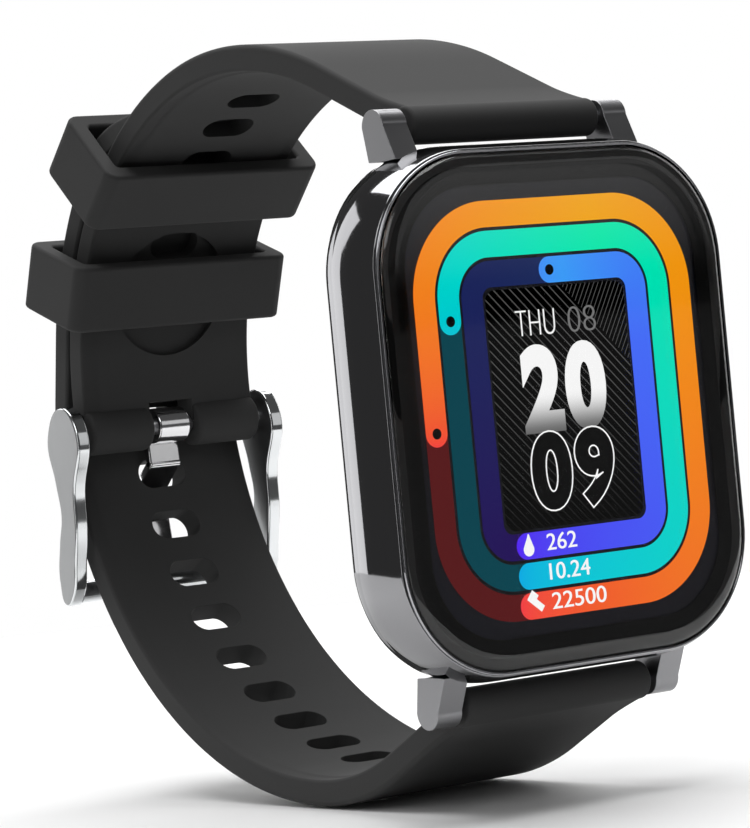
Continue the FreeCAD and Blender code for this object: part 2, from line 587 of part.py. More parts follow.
# ---------------------------------------------------------------- inside
def make_inside():
    """Display stack, carrier, boards, battery, motor, antenna and flexible links."""
    save("touch_panel", outline_prism(LEDGE_INSET + LOOSE, GLASS_BACK, DISPLAY_FRONT))
    save("display_panel", outline_prism(DISPLAY_INSET, DISPLAY_FRONT, DISPLAY_BACK))
    board = outline_prism(BOARD_INSET, BOARD_FRONT, BOARD_BACK)
    save("main_board", board)
    save("board_shield", box_at(SHIELD, BOARD_BACK))
    save("board_chips", *[box_at(chip, BOARD_BACK) for chip in (PROCESSOR, MEMORY, CHARGER, RADIO)])

    carrier_end = SPLIT - LIP_HEIGHT - CARRIER_END_GAP
    wall = outline_ring(CARRIER_INSET, CARRIER_INSET + CARRIER_WALL, BOARD_FRONT, carrier_end)
    wall_x = CAVITY_X - CARRIER_GAP - CARRIER_WALL / 2
    wall_z = CAVITY_Z - CARRIER_GAP - CARRIER_WALL / 2
    depth = (SHELF_FRONT, SHELF_BACK)
    shelf = block((-wall_x, BATTERY_RIGHT), depth, (-SHELF_HALF, SHELF_HALF))
    half_rib = RIB_WIDTH / 2
    ribs = [block((LEFT_RIB_X - half_rib, LEFT_RIB_X + half_rib), depth, (-wall_z, wall_z))]
    ribs += [block((0, wall_x), depth, (z - half_rib, z + half_rib)) for z in (UPPER_RIB_Z, LOWER_RIB_Z)]
    carrier = wall.fuse([shelf] + ribs)
    post_hole = POST_RADIUS + LOOSE
    carrier = carrier.cut([rod_y(x, z, post_hole, BOARD_FRONT - 1, SPLIT) for x, z in screw_places()])
    middle_x, middle_z = SCREW_X - WEB_X - WALL_BITE, SCREW_Z - WEB_Z - WALL_BITE
    keep = block((-middle_x, middle_x), (FRONT, BACK), (-CASE_HEIGHT, CASE_HEIGHT))
    keep = keep.fuse(block((-CASE_WIDTH, CASE_WIDTH), (FRONT, BACK), (-middle_z, middle_z)))
    carrier = carrier.common(keep)
    switch_half = SWITCH_WIDTH / 2 + WALL_BITE
    switch_room = block((SWITCH_LEFT - LOOSE, CAVITY_X + 1), (FRONT, SPLIT), (-switch_half, switch_half))
    carrier = carrier.cut(switch_room)
    flex_half, flex_end = FLEX_WIDTH / 2, CASE_WALL + 2 * POST_RADIUS + LOOSE
    carrier = carrier.cut(block((-flex_half - 1, flex_half + 1), (BOARD_FRONT - 1, SHELF_FRONT + CARRIER_GAP),
                                (-HALF_HEIGHT, flex_end - HALF_HEIGHT)))
    save("inner_carrier", carrier)

    low = SHELF_BACK + SEAT
    cell = block((BATTERY_LEFT, BATTERY_RIGHT), (low, low + BATTERY_THICKNESS),
                 (BATTERY_LOW, BATTERY_LOW + BATTERY_HEIGHT))
    save("battery", cell.makeFillet(BATTERY_ROUND, [e for e in cell.Edges if abs(e.tangentAt(0).y) > 0.9]))
    save("vibration_motor", rod_y(MOTOR_X, MOTOR_Z, MOTOR_RADIUS, SHELF_FRONT, SHELF_FRONT + MOTOR_THICKNESS))
    low = BOARD_FRONT + WALL_BITE
    antenna_z = CAVITY_Z - CARRIER_GAP
    save("antenna", block((-ANTENNA_LENGTH / 2, ANTENNA_LENGTH / 2), (low, low + ANTENNA_HEIGHT),
                          (antenna_z, antenna_z + ANTENNA_THICKNESS)))

    ribbon_z = DISPLAY_INSET + CARRIER_GAP - HALF_HEIGHT
    flex_back = BOARD_BACK + FLEX_THICKNESS
    ribbon = block((-flex_half, flex_half), (DISPLAY_BACK, flex_back), (ribbon_z - FLEX_THICKNESS, ribbon_z))
    tab_end = BOARD_INSET + FLEX_TAB - HALF_HEIGHT
    tab = block((-flex_half, flex_half), (BOARD_BACK, flex_back), (ribbon_z, tab_end))
    save("display_flex", ribbon.fuse(tab))

    window = rod_y(0, 0, WINDOW_RADIUS, WRIST - WINDOW_THICKNESS, WRIST)
    save("sensor_window", rounded_at(window, WRIST, WINDOW_ROUND))
    sensor = WRIST - WINDOW_THICKNESS
    board_front = PLATE_FRONT - SENSOR_BOARD_THICKNESS
    save("sensor_board", rod_y(0, 0, WINDOW_RADIUS - SENSOR_BOARD_MARGIN, board_front, PLATE_FRONT))
    baffle = rod_y(0, 0, BAFFLE_RADIUS, PLATE_FRONT, sensor)
    save("sensor_baffle", baffle.cut(rod_y(0, 0, BAFFLE_RADIUS - BAFFLE_WALL, PLATE_FRONT - 1, sensor + 1)))
    tall = sensor - SENSOR_GAP - PLATE_FRONT
    lights = [box_at((x, 0, LIGHT_SIZE, LIGHT_SIZE, tall), PLATE_FRONT) for x in (-LIGHT_PLACE, LIGHT_PLACE)]
    diodes = [box_at((x * DIODE_PLACE, z * DIODE_PLACE, DIODE_SIZE, DIODE_SIZE, tall), PLATE_FRONT)
              for x, z in ((-1, 0), (1, 0), (0, -1), (0, 1))]
    save("sensor_lights", *lights)
    save("sensor_diodes", *diodes)
    flex_x = BATTERY_RIGHT + LOOSE
    save("sensor_flex", block((flex_x, flex_x + FLEX_THICKNESS), (BOARD_BACK, board_front),
                              (-SENSOR_FLEX_WIDTH / 2, SENSOR_FLEX_WIDTH / 2)))

    contacts = [rod_y(x, CHARGE_Z, CONTACT_RADIUS, BACK - CONTACT_LENGTH, BACK)
                for x in (-CONTACT_PITCH / 2, CONTACT_PITCH / 2)]
    save("charging_contacts", *contacts)
    half = MAGNET_THICKNESS / 2
    magnets = [rod_y(x, CHARGE_Z, MAGNET_RADIUS - SEAT, PLATE_FRONT - half, PLATE_FRONT + half - SEAT)
               for x in (-MAGNET_PITCH / 2, MAGNET_PITCH / 2)]
    save("charging_magnets", *magnets)


# ---------------------------------------------------------------- side button
STEM_END = CAVITY_X - STEM_REACH
PLUNGER_END = STEM_END - SEAT
SWITCH_RIGHT = PLUNGER_END - PLUNGER_LENGTH
SWITCH_LEFT = SWITCH_RIGHT - SWITCH_LENGTH


def make_button():
    """Button cap, stem, seal, clip, and the switch that it presses."""
    inner = HALF_WIDTH - BUTTON_CAP_SEAT
    cap = button_shape(inner, HALF_WIDTH + BUTTON_PROUD).removeSplitter()
    crown = [e for e in cap.Edges if e.BoundBox.XMin > HALF_WIDTH + BUTTON_PROUD - 1e-3]
    save("button_cap", cap.makeFillet(CAP_ROUND, crown))
    seal_x = CAVITY_X + GROOVE_INSET
    groove = rod_x(BUTTON_Y, 0, STEM_RADIUS + 1, seal_x, seal_x + SEAL_SECTION).cut(
        rod_x(BUTTON_Y, 0, STEM_RADIUS - GROOVE_DEPTH, seal_x - 1, seal_x + 2))
    stem = rod_x(BUTTON_Y, 0, STEM_RADIUS, STEM_END, inner).cut(groove)
    save("button_stem", stem)
    seal = rod_x(BUTTON_Y, 0, STEM_RADIUS + SLIP - SEAT, seal_x + SEAT, seal_x + SEAL_SECTION - SEAT)
    save("button_seal", seal.cut(rod_x(BUTTON_Y, 0, STEM_RADIUS - GROOVE_DEPTH, seal_x - 1, seal_x + 2)))
    clip_high = CAVITY_X - SEAT
    clip = rod_x(BUTTON_Y, 0, CLIP_RADIUS, clip_high - CLIP_THICKNESS, clip_high)
    clip = clip.cut(rod_x(BUTTON_Y, 0, STEM_RADIUS, clip_high - 1, clip_high + 1))
    mouth = STEM_RADIUS - GROOVE_DEPTH
    opening = block((clip_high - 1, clip_high + 1), (BUTTON_Y, BUTTON_Y + 2 * CLIP_RADIUS), (-mouth, mouth))
    clip = clip.cut(opening)
    save("button_clip", clip)
    switch = block((SWITCH_LEFT, SWITCH_RIGHT), (BOARD_BACK, BOARD_BACK + SWITCH_DEPTH),
                   (-SWITCH_WIDTH / 2, SWITCH_WIDTH / 2))
    plunger_start = SWITCH_RIGHT - PLUNGER_SEAT
    bore_start = plunger_start - BUTTON_TRAVEL - SLIP
    save("switch_body", switch.cut(rod_x(BUTTON_Y, 0, PLUNGER_RADIUS + SLIP, bore_start, SWITCH_RIGHT + 1)))
    save("switch_plunger", rod_x(BUTTON_Y, 0, PLUNGER_RADIUS, plunger_start, PLUNGER_END))


# ---------------------------------------------------------------- spring bars
def make_spring_bar(side, label):
    """A quick-release spring bar: tube, fixed pin, sliding pin with its knob, and spring."""
    place = (BAR_Y, side * BAR_Z)
    core = BAR_RADIUS - BAR_WALL
    tip = LUG_IN + BAR_TIP_REACH
    tube = rod_x(*place, BAR_RADIUS, -BAR_HALF, BAR_HALF)
    tube = tube.cut(rod_x(*place, core, -BAR_HALF - 1, BAR_HALF + 1))
    window = block((KNOB_X - RELEASE_TRAVEL - KNOB_RADIUS - SLIP, KNOB_X + KNOB_RADIUS + SLIP),
                   (BAR_Y, BAR_Y + 2 * BAR_RADIUS),
                   (side * BAR_Z - KNOB_RADIUS - SLIP, side * BAR_Z + KNOB_RADIUS + SLIP))
    save(label + "_bar_tube", tube.cut(window))
    fixed = rod_x(*place, core, -BAR_HALF, -BAR_HALF / 2).fuse(
        rod_x(*place, BAR_TIP_RADIUS, -tip, -BAR_HALF))
    save(label + "_bar_fixed_pin", fixed)
    slide_end = KNOB_X - 2 * KNOB_RADIUS
    slide = rod_x(*place, core - SLIP, slide_end, BAR_HALF).fuse(rod_x(*place, BAR_TIP_RADIUS, BAR_HALF, tip))
    knob = Part.makeCylinder(KNOB_RADIUS, STRAP_HUB_RADIUS + KNOB_PROUD, Vector(KNOB_X, *place), Y_AXIS)
    save(label + "_release_pin", slide.fuse(knob))
    low, high = -BAR_HALF / 2 + LOOSE, slide_end - RELEASE_TRAVEL - LOOSE
    height, coil_radius = high - low - 2 * WIRE_RADIUS, core - WIRE_RADIUS - WIRE_GAP
    helix = Part.makeHelix(height / SPRING_TURNS, height, coil_radius)
    ring = Part.Wire(Part.makeCircle(WIRE_RADIUS, Vector(coil_radius, 0, 0), Y_AXIS))
    coil = Part.Wire(helix).makePipeShell([ring], True, True)
    coil.rotate(Vector(0, 0, 0), Y_AXIS, 90)
    coil.translate(Vector(low + WIRE_RADIUS, *place))
    save(label + "_bar_spring", coil)


# ---------------------------------------------------------------- straps
def make_straps():
    """The buckle strap and the holed strap."""
    taper = strap_taper()
    wide = STRAP_WIDTH_LUG
    band = BUCKLE_PATH.strip(-HALF_STRAP, HALF_STRAP, wide).common(taper)
    band = rounded_long_edges(band, STRAP_EDGE)
    roll = rod_x(*PIN, ROLL_RADIUS, -STRAP_WIDTH_BUCKLE / 2, STRAP_WIDTH_BUCKLE / 2)
    band = band.fuse([strap_hub(1), roll])
    band = band.cut(rod_x(*PIN, PIN_RADIUS + SLIP, -wide, wide))
    notch = NOTCH_WIDTH / 2
    band = band.cut(block((-notch, notch), (PIN[0] - 2 * ROLL_RADIUS, PIN[0] + 2 * ROLL_RADIUS),
                          (PIN[1] - 2 * ROLL_RADIUS, PIN[1] + ROLL_RADIUS)))
    band = band.cut(bar_cutter(1))
    first = PIN_TRAVEL - BUCKLE_SLOT_START
    band = band.cut([slot_cutter(BUCKLE_PATH, first - k * BUCKLE_SLOT_PITCH, -STRAP_THICKNESS,
                                 BUCKLE_SLOT_DEPTH - HALF_STRAP) for k in range(BUCKLE_SLOTS)])
    spot = on_arc(ARC_RADIUS, RECESS_ANGLE)
    toward = Vector(0, ARC_CENTRE[0] - spot[0], ARC_CENTRE[1] - spot[1])
    punch = Part.makeCylinder(RECESS_RADIUS, 2 * STRAP_THICKNESS, Vector(0, *spot), toward)
    face = ARC_RADIUS - HALF_STRAP + RECESS_DEPTH
    band = band.cut(punch.common(rod_x(*ARC_CENTRE, face, -wide, wide)))
    save("buckle_strap", band.removeSplitter())

    band = HOLED_PATH.strip(-HALF_STRAP, HALF_STRAP, wide).common(taper)
    tip = Vector(0, *HOLED_PATH.point)
    corners = [e for e in band.Edges
               if e.Length < 1.2 * STRAP_THICKNESS and (e.CenterOfMass - tip).Length < wide / 2 + 1]
    band = band.makeFillet(TAIL_TIP_RADIUS, corners)
    band = rounded_long_edges(band, STRAP_EDGE)
    band = band.fuse(strap_hub(-1)).cut(bar_cutter(-1))
    tang_at = TAIL_TRAVEL - TANG_SLOT_DROP
    band = band.cut([slot_cutter(HOLED_PATH, tang_at + k * SLOT_PITCH, -STRAP_THICKNESS, STRAP_THICKNESS)
                     for k in range(-HOLED_SLOTS_BELOW, HOLED_SLOTS_ABOVE + 1)])
    save("holed_strap", band.removeSplitter())


# ---------------------------------------------------------------- buckle and keepers
def buckle_bar_place():
    """Centre of the far bar: clear of the holed strap and one buckle length from the pin."""
    reach = HOLED_RADIUS + HALF_STRAP + BUCKLE_PLAY + BUCKLE_BAR_RADIUS
    dy, dz = PIN[0] - HOLED_CENTRE[0], PIN[1] - HOLED_CENTRE[1]
    apart = math.hypot(dy, dz)
    turn = math.acos((reach ** 2 + apart ** 2 - BUCKLE_LENGTH ** 2) / (2 * reach * apart))
    angle = math.atan2(dz, dy) - turn
    return HOLED_CENTRE[0] + reach * math.cos(angle), HOLED_CENTRE[1] + reach * math.sin(angle)


def make_buckle():
    """Buckle frame, its pin, and the tang that stands in a slot of the holed strap."""
    bar = buckle_bar_place()
    inner, outer = ARM_GAP / 2, ARM_GAP / 2 + ARM_THICKNESS
    head = rod_x(*PIN, ARM_HEAD_RADIUS, inner, outer)
    lean = math.atan2(bar[1] - PIN[1], bar[0] - PIN[0])

    def place(along, aside):
        return (PIN[0] + along * math.cos(lean) - aside * math.sin(lean),
                PIN[1] + along * math.sin(lean) + aside * math.cos(lean))

    half = ARM_WAIST / 2
    bone = [place(0, ARM_HEAD_RADIUS), place(WAIST_NEAR, half), place(WAIST_FAR, 1.1 * half),
            place(BUCKLE_LENGTH, BUCKLE_BAR_RADIUS), place(BUCKLE_LENGTH, -BUCKLE_BAR_RADIUS),
            place(WAIST_CORNER, -1.5 * half), place(WAIST_NEAR, -1.3 * half), place(0, -ARM_HEAD_RADIUS)]
    arm = head.fuse([plate(bone, inner, outer), rod_x(*bar, BUCKLE_BAR_RADIUS, inner, outer)])
    arms = both_sides(arm)
    frame = arms.fuse(rod_x(*bar, BUCKLE_BAR_RADIUS, -inner, inner))
    pin = rod_x(*PIN, PIN_RADIUS, PIN_COVER - outer, outer - PIN_COVER)
    frame = frame.cut(pin)
    save("buckle_frame", frame.removeSplitter())
    save("buckle_pin", pin)

    (slot_y, slot_z), heading = HOLED_PATH.at(TAIL_TRAVEL - TANG_SLOT_DROP)
    out = (math.sin(heading), -math.cos(heading))
    up = (math.cos(heading), math.sin(heading))

    def through(depth, rise):
        return slot_y + depth * out[0] + rise * up[0], slot_z + depth * out[1] + rise * up[1]

    rest = BUCKLE_BAR_RADIUS + TANG_THICKNESS / 2 + SEAT
    over_bar = place(BUCKLE_LENGTH, rest)
    tip = place(BUCKLE_LENGTH + TANG_TIP, rest)
    bend = HALF_STRAP + TANG_REACH
    spine = [(PIN[0] + TANG_RING_RADIUS - TANG_THICKNESS / 2, PIN[1]), through(-bend, TANG_RISE),
             through(bend, -TANG_DROP), over_bar, tip]
    tang = rod_x(*PIN, TANG_RING_RADIUS, -TANG_WIDTH / 2, TANG_WIDTH / 2)
    thick = TANG_THICKNESS / 2
    for (y0, z0), (y1, z1) in zip(spine, spine[1:]):
        length = math.hypot(y1 - y0, z1 - z0)
        ny, nz = -(z1 - z0) / length * thick, (y1 - y0) / length * thick
        slab = plate([(y0 + ny, z0 + nz), (y1 + ny, z1 + nz), (y1 - ny, z1 - nz), (y0 - ny, z0 - nz)],
                     -TANG_WIDTH / 2, TANG_WIDTH / 2)
        tang = tang.fuse([slab, rod_x(y1, z1, thick, -TANG_WIDTH / 2, TANG_WIDTH / 2)])
    tang = tang.cut(rod_x(*PIN, PIN_RADIUS + SLIP, -TANG_WIDTH, TANG_WIDTH))
    save("buckle_tang", tang.removeSplitter())


def make_keeper(degrees, label):
    """A boxy rubber loop around the buckle strap and the tail, square to the strap at its angle."""
    low = ARC_RADIUS - HALF_STRAP - KEEPER_PLAY
    high = TAIL_RADIUS + HALF_STRAP + KEEPER_PLAY
    half_x = STRAP_WIDTH_BUCKLE / 2 + KEEPER_SIDE_PLAY
    half_z = KEEPER_HEIGHT / 2
    sagitta = low - math.sqrt(low ** 2 - half_z ** 2)
    window = block((-half_x, half_x), (low - sagitta, high), (-2 * half_z, 2 * half_z))
    outer_x = half_x + KEEPER_WALL
    body = block((-outer_x, outer_x), (low - sagitta - KEEPER_WALL, high + KEEPER_WALL), (-half_z, half_z))
    body = body.makeFillet(KEEPER_CORNER, [e for e in body.Edges if abs(e.tangentAt(0).z) > 0.9])
    loop = body.cut(window)
    loop.rotate(Vector(0, 0, 0), X_AXIS, degrees)
    loop.translate(Vector(0, *ARC_CENTRE))
    save(label, loop)


def main():
    """Builds every node."""
    os.makedirs("parts", exist_ok=True)
    make_case()
    make_inside()
    make_button()
    make_spring_bar(1, "upper")
    make_spring_bar(-1, "lower")
    make_straps()
    make_buckle()
    make_keeper(LOWER_KEEPER_ANGLE, "lower_keeper")
    make_keeper(UPPER_KEEPER_ANGLE, "upper_keeper")


main()
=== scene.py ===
import logging
import math
from contextlib import contextmanager
from dataclasses import dataclass, field
from enum import Enum
from typing import Callable, Iterator, Sequence

import bmesh
import bpy
from mathutils import Matrix, Vector


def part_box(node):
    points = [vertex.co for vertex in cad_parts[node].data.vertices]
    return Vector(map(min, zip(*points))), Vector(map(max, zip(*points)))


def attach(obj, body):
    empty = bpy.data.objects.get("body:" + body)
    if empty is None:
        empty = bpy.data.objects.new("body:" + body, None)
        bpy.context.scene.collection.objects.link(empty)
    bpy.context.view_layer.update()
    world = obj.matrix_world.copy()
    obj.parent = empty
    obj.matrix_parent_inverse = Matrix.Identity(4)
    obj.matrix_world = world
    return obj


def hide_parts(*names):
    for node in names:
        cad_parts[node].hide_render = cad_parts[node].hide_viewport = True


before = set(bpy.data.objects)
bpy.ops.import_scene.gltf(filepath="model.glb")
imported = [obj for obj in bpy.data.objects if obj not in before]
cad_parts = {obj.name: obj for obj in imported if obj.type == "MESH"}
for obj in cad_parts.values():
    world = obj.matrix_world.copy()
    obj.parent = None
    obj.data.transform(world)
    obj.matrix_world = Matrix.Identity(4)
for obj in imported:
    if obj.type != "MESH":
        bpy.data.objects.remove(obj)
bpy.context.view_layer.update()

# A rectangular smartwatch on a closed silicone strap. +Z points to 12 o'clock and the display faces -Y.
# Pieces are shaped at one unit to the millimetre and brought to metres when they are finished.
MM = 0.001
LOG = logging.getLogger("smartwatch")
Piece = bpy.types.Object
Colour = tuple[float, float, float]
Place = tuple[float, float]


# ------------------------------------------------------------------ workbench
def put_down() -> None:
    """Goes back to object mode with nothing selected."""
    if bpy.context.object and bpy.context.object.mode != "OBJECT":
        bpy.ops.object.mode_set(mode="OBJECT")
    bpy.ops.object.select_all(action="DESELECT")


def pick(*pieces: Piece) -> None:
    """Selects pieces and makes the first one active.

    Args:
        pieces: The pieces to select.
    """
    put_down()
    for piece in pieces:
        piece.select_set(True)
    bpy.context.view_layer.objects.active = pieces[0]


@contextmanager
def editing(piece: Piece, kind: str = "VERT", whole: bool = False) -> Iterator[None]:
    """Opens a piece in edit mode.

    Args:
        piece: The piece to edit.
        kind: What is selected: VERT, EDGE or FACE.
        whole: Whether all of it is selected first.
    """
    pick(piece)
    bpy.ops.object.mode_set(mode="EDIT")
    bpy.ops.mesh.select_mode(type=kind)
    if whole:
        bpy.ops.mesh.select_all(action="SELECT")
    yield
    bpy.ops.object.mode_set(mode="OBJECT")


class Grip(Enum):
    """What is selected of a piece, and what its test is given."""

    POINT = ("verts", lambda point: (point.co,))
    EDGE = ("edges", lambda edge: (edge.verts[0].co, edge.verts[1].co))
    FACE = ("faces", lambda face: (face.calc_center_median(), face.normal))


def select(piece: Piece, grip: Grip, test: Callable[..., bool]) -> None:
    """Selects what passes a test, in a piece that is in edit mode.

    Args:
        piece: The piece.
        grip: Whether points, edges or faces are selected.
        test: Given a point's place, an edge's two ends, or a face's centre and normal.
    """
    bpy.ops.mesh.select_all(action="DESELECT")
    mesh = bmesh.from_edit_mesh(piece.data)
    mesh.normal_update()
    kind, facts = grip.value
    for item in getattr(mesh, kind):
        item.select_set(test(*facts(item)))
    mesh.select_flush_mode()
    bmesh.update_edit_mesh(piece.data)


def bevel_edges(piece: Piece, test: Callable[[Vector, Vector], bool], width: float, segments: int) -> None:
    """Rounds the edges of a piece that pass a test of their two ends.

    Args:
        piece: The piece, in edit mode.
        test: Says which edges.
        width: The round's width.
        segments: The round's steps.
    """
    select(piece, Grip.EDGE, test)
    bpy.ops.mesh.bevel(offset=width, segments=segments)


def push(shift: Sequence[float]) -> None:
    """Extrudes what is selected by a shift."""
    bpy.ops.mesh.extrude_region_move(TRANSFORM_OT_translate={"value": shift, "orient_type": "GLOBAL"})


def settle(piece: Piece) -> Piece:
    """Moves a piece's place, turn and scale into its mesh."""
    pick(piece)
    bpy.ops.object.transform_apply(location=True, rotation=True, scale=True)
    return piece


def block(low: Sequence[float], high: Sequence[float]) -> Piece:
    """Adds a box between two corners.

    Args:
        low: Lowest corner.
        high: Highest corner.

    Returns:
        The box.
    """
    put_down()
    middle = [(a + b) / 2 for a, b in zip(low, high)]
    bpy.ops.mesh.primitive_cube_add(size=1, location=middle)
    piece = bpy.context.object
    piece.scale = [b - a for a, b in zip(low, high)]
    return settle(piece)


class Axis(Enum):
    """The way that a rod points, as the turn from +Z."""

    X = (0.0, math.pi / 2, 0.0)
    Y = (-math.pi / 2, 0.0, 0.0)
    Z = (0.0, 0.0, 0.0)


def rod(axis: Axis, centre: Sequence[float], radius: float, length: float, sides: int = 48) -> Piece:
    """Adds a cylinder.

    Args:
        axis: The way it points.
        centre: Its centre.
        radius: Its radius.
        length: Its length.
        sides: How many flats go round it.

    Returns:
        The cylinder.
    """
    put_down()
    bpy.ops.mesh.primitive_cylinder_add(vertices=sides, radius=radius, depth=length, location=centre,
                                        rotation=axis.value)
    return settle(bpy.context.object)


def modify(piece: Piece, kind: str, **settings: object) -> Piece:
    """Adds a modifier and applies it.

    Args:
        piece: The piece to change.
        kind: The modifier's type.
        settings: Its settings by name.

    Returns:
        The piece.
    """
    pick(piece)
    modifier = piece.modifiers.new(kind.lower(), kind)
    for name, value in settings.items():
        setattr(modifier, name, value)
    bpy.ops.object.modifier_apply(modifier=modifier.name)
    return piece


def join(*pieces: Piece) -> Piece:
    """Joins pieces into the first one."""
    pick(*pieces)
    bpy.ops.object.join()
    return pieces[0]


def combine(piece: Piece, tool: Piece, operation: str = "DIFFERENCE") -> Piece:
    """Cuts a tool out of a piece, or welds it on, and throws the tool away."""
    modify(piece, "BOOLEAN", object=tool, operation=operation, solver="EXACT")
    bpy.data.objects.remove(tool)
    return piece


def clean(piece: Piece, distance: float = 1e-4) -> Piece:
    """Merges doubled points, closes what is open and turns the faces outwards."""
    with editing(piece, whole=True):
        bpy.ops.mesh.remove_doubles(threshold=distance)
        bpy.ops.mesh.fill_holes(sides=0)
        bpy.ops.mesh.select_all(action="SELECT")
        bpy.ops.mesh.normals_make_consistent(inside=False)
    return piece


def soften(piece: Piece, width: float, segments: int = 3, angle: float = 40.0) -> Piece:
    """Rounds every edge sharper than an angle in degrees."""
    return modify(piece, "BEVEL", width=width, segments=segments, limit_method="ANGLE",
                  angle_limit=math.radians(angle), harden_normals=False)


def shade(piece: Piece, angle: float = 35.0) -> Piece:
    """Shades a piece smooth, but for edges sharper than an angle in degrees."""
    pick(piece)
    bpy.ops.object.shade_smooth_by_angle(angle=math.radians(angle))
    return modify(piece, "WEIGHTED_NORMAL", keep_sharp=True, weight=80)


def box_mm(node: str) -> tuple[Vector, Vector]:
    """Lowest and highest corners of a node in millimetres."""
    low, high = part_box(node)
    return low / MM, high / MM


def middle_mm(node: str) -> Vector:
    """Centre of a node's box in millimetres."""
    low, high = box_mm(node)
    return (low + high) / 2


def deliver(piece: Piece, name: str, body: str, finishes: Sequence["Finish"],
            replaced: Sequence[str] = (), shaded: bool = True,
            second: Callable[[bpy.types.MeshPolygon], bool] | None = None) -> Piece:
    """Brings a finished piece to metres, dresses it and hands it to the frame.

    Args:
        piece: The piece.
        name: Its name.
        body: The body that it moves with.
        finishes: Its finishes; the first covers it.
        replaced: The nodes that it stands for.
        shaded: Whether it is shaded smooth here.
        second: Says which faces wear the second finish, if there is one.

    Returns:
        The piece.
    """
    chosen = [face.index for face in piece.data.polygons if second and second(face)]
    if shaded:
        shade(piece)
    piece.scale = (MM, MM, MM)
    settle(piece)
    piece.name = name
    piece.data.name = name
    piece.data.materials.clear()
    for finish in finishes:
        piece.data.materials.append(finish.material())
    for index in chosen:
        piece.data.polygons[index].material_index = 1
    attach(piece, body)
    if replaced:
        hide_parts(*replaced)
    LOG.info("%s: %d faces on %s", name, len(piece.data.polygons), body)
    return piece


# ------------------------------------------------------------------ finishes
def node_group(name: str, inputs: dict[str, float], outputs: dict[str, str]) -> bpy.types.ShaderNodeTree:
    """Starts a shader group with named sockets.

    Args:
        name: The group's name.
        inputs: Input names with their default values.
        outputs: Output names with their socket types.

    Returns:
        The group's tree.
    """
    tree = bpy.data.node_groups.new(name, "ShaderNodeTree")
    for label, value in inputs.items():
        socket = tree.interface.new_socket(label, in_out="INPUT", socket_type="NodeSocketFloat")
        socket.default_value = value
    for label, kind in outputs.items():
        tree.interface.new_socket(label, in_out="OUTPUT", socket_type=kind)
    tree.nodes.new("NodeGroupInput").name = "in"
    tree.nodes.new("NodeGroupOutput").name = "out"
    return tree


def wire(tree: bpy.types.NodeTree, *pairs: tuple[bpy.types.NodeSocket, bpy.types.NodeSocket]) -> None:
    """Joins pairs of sockets."""
    for start, end in pairs:
        tree.links.new(start, end)


def set_inputs(node: bpy.types.Node, inputs: dict) -> None:
    """Sets a node's inputs by name or number."""
    for label, value in inputs.items():
        node.inputs[label].default_value = value


def add_node(tree: bpy.types.NodeTree, kind: str, inputs: dict | None = None,
             **settings: object) -> bpy.types.Node:
    """Adds a shader node.

    Args:
        tree: The tree that it goes in.
        kind: Its type, after ShaderNode.
        inputs: Values of its inputs by name or number.
        settings: Its other settings by name.

    Returns:
        The node.
    """
    node = tree.nodes.new("ShaderNode" + kind)
    for name, value in settings.items():
        setattr(node, name, value)
    set_inputs(node, inputs or {})
    return node


def height_share(tree: bpy.types.NodeTree, limits: dict, **settings: object) -> bpy.types.NodeSocket:
    """How far up a surface lies between two heights.

    Args:
        tree: The material's tree.
        limits: The inputs of the range.
        settings: The other settings of the range.

    Returns:
        The socket that holds the share.
    """
    place = add_node(tree, "TexCoord")
    split = add_node(tree, "SeparateXYZ")
    share = add_node(tree, "MapRange", limits, **settings)
    wire(tree, (place.outputs["Object"], split.inputs[0]), (split.outputs["Z"], share.inputs["Value"]))
    return share.outputs[0]


def grain_group() -> bpy.types.ShaderNodeTree:
    """The fine grain, smudges and moulding marks that every surface shares.

    Returns:
        A group that puts out a roughness, a shade from 0 to 1 and a normal.
    """
    name = "fine_grain"
    if name in bpy.data.node_groups:
        return bpy.data.node_groups[name]
    tree = node_group(name, {"Scale": 2000.0, "Depth": 0.1, "Smooth": 0.3, "Rough": 0.4, "Stretch": 1.0},
                      {"Roughness": "NodeSocketFloat", "Shade": "NodeSocketFloat",
                       "Normal": "NodeSocketVector"})
    given, result = tree.nodes["in"].outputs, tree.nodes["out"].inputs
    place = add_node(tree, "TexCoord").outputs["Object"]
    stretch = add_node(tree, "CombineXYZ", {"X": 1.0, "Y": 1.0})
    scaled = add_node(tree, "VectorMath", operation="MULTIPLY")
    fine = add_node(tree, "TexNoise", {"Detail": 3.0})
    broad = add_node(tree, "TexNoise", {"Scale": 90.0, "Detail": 4.0})
    bump = add_node(tree, "Bump", {"Distance": 2e-5})
    blend = add_node(tree, "Math", {1: 0.35}, operation="MULTIPLY_ADD")
    spread = add_node(tree, "MapRange", {"From Min": 0.35, "From Max": 0.95})
    wire(tree, (given["Stretch"], stretch.inputs["Z"]), (place, scaled.inputs[0]),
         (stretch.outputs[0], scaled.inputs[1]), (scaled.outputs[0], fine.inputs["Vector"]),
         (place, broad.inputs["Vector"]), (given["Scale"], fine.inputs["Scale"]),
         (fine.outputs[0], blend.inputs[0]), (broad.outputs[0], blend.inputs[2]),
         (blend.outputs[0], spread.inputs["Value"]), (given["Smooth"], spread.inputs["To Min"]),
         (given["Rough"], spread.inputs["To Max"]), (fine.outputs[0], bump.inputs["Height"]),
         (given["Depth"], bump.inputs["Strength"]), (spread.outputs[0], result["Roughness"]),
         (broad.outputs[0], result["Shade"]), (bump.outputs[0], result["Normal"]))
    return tree


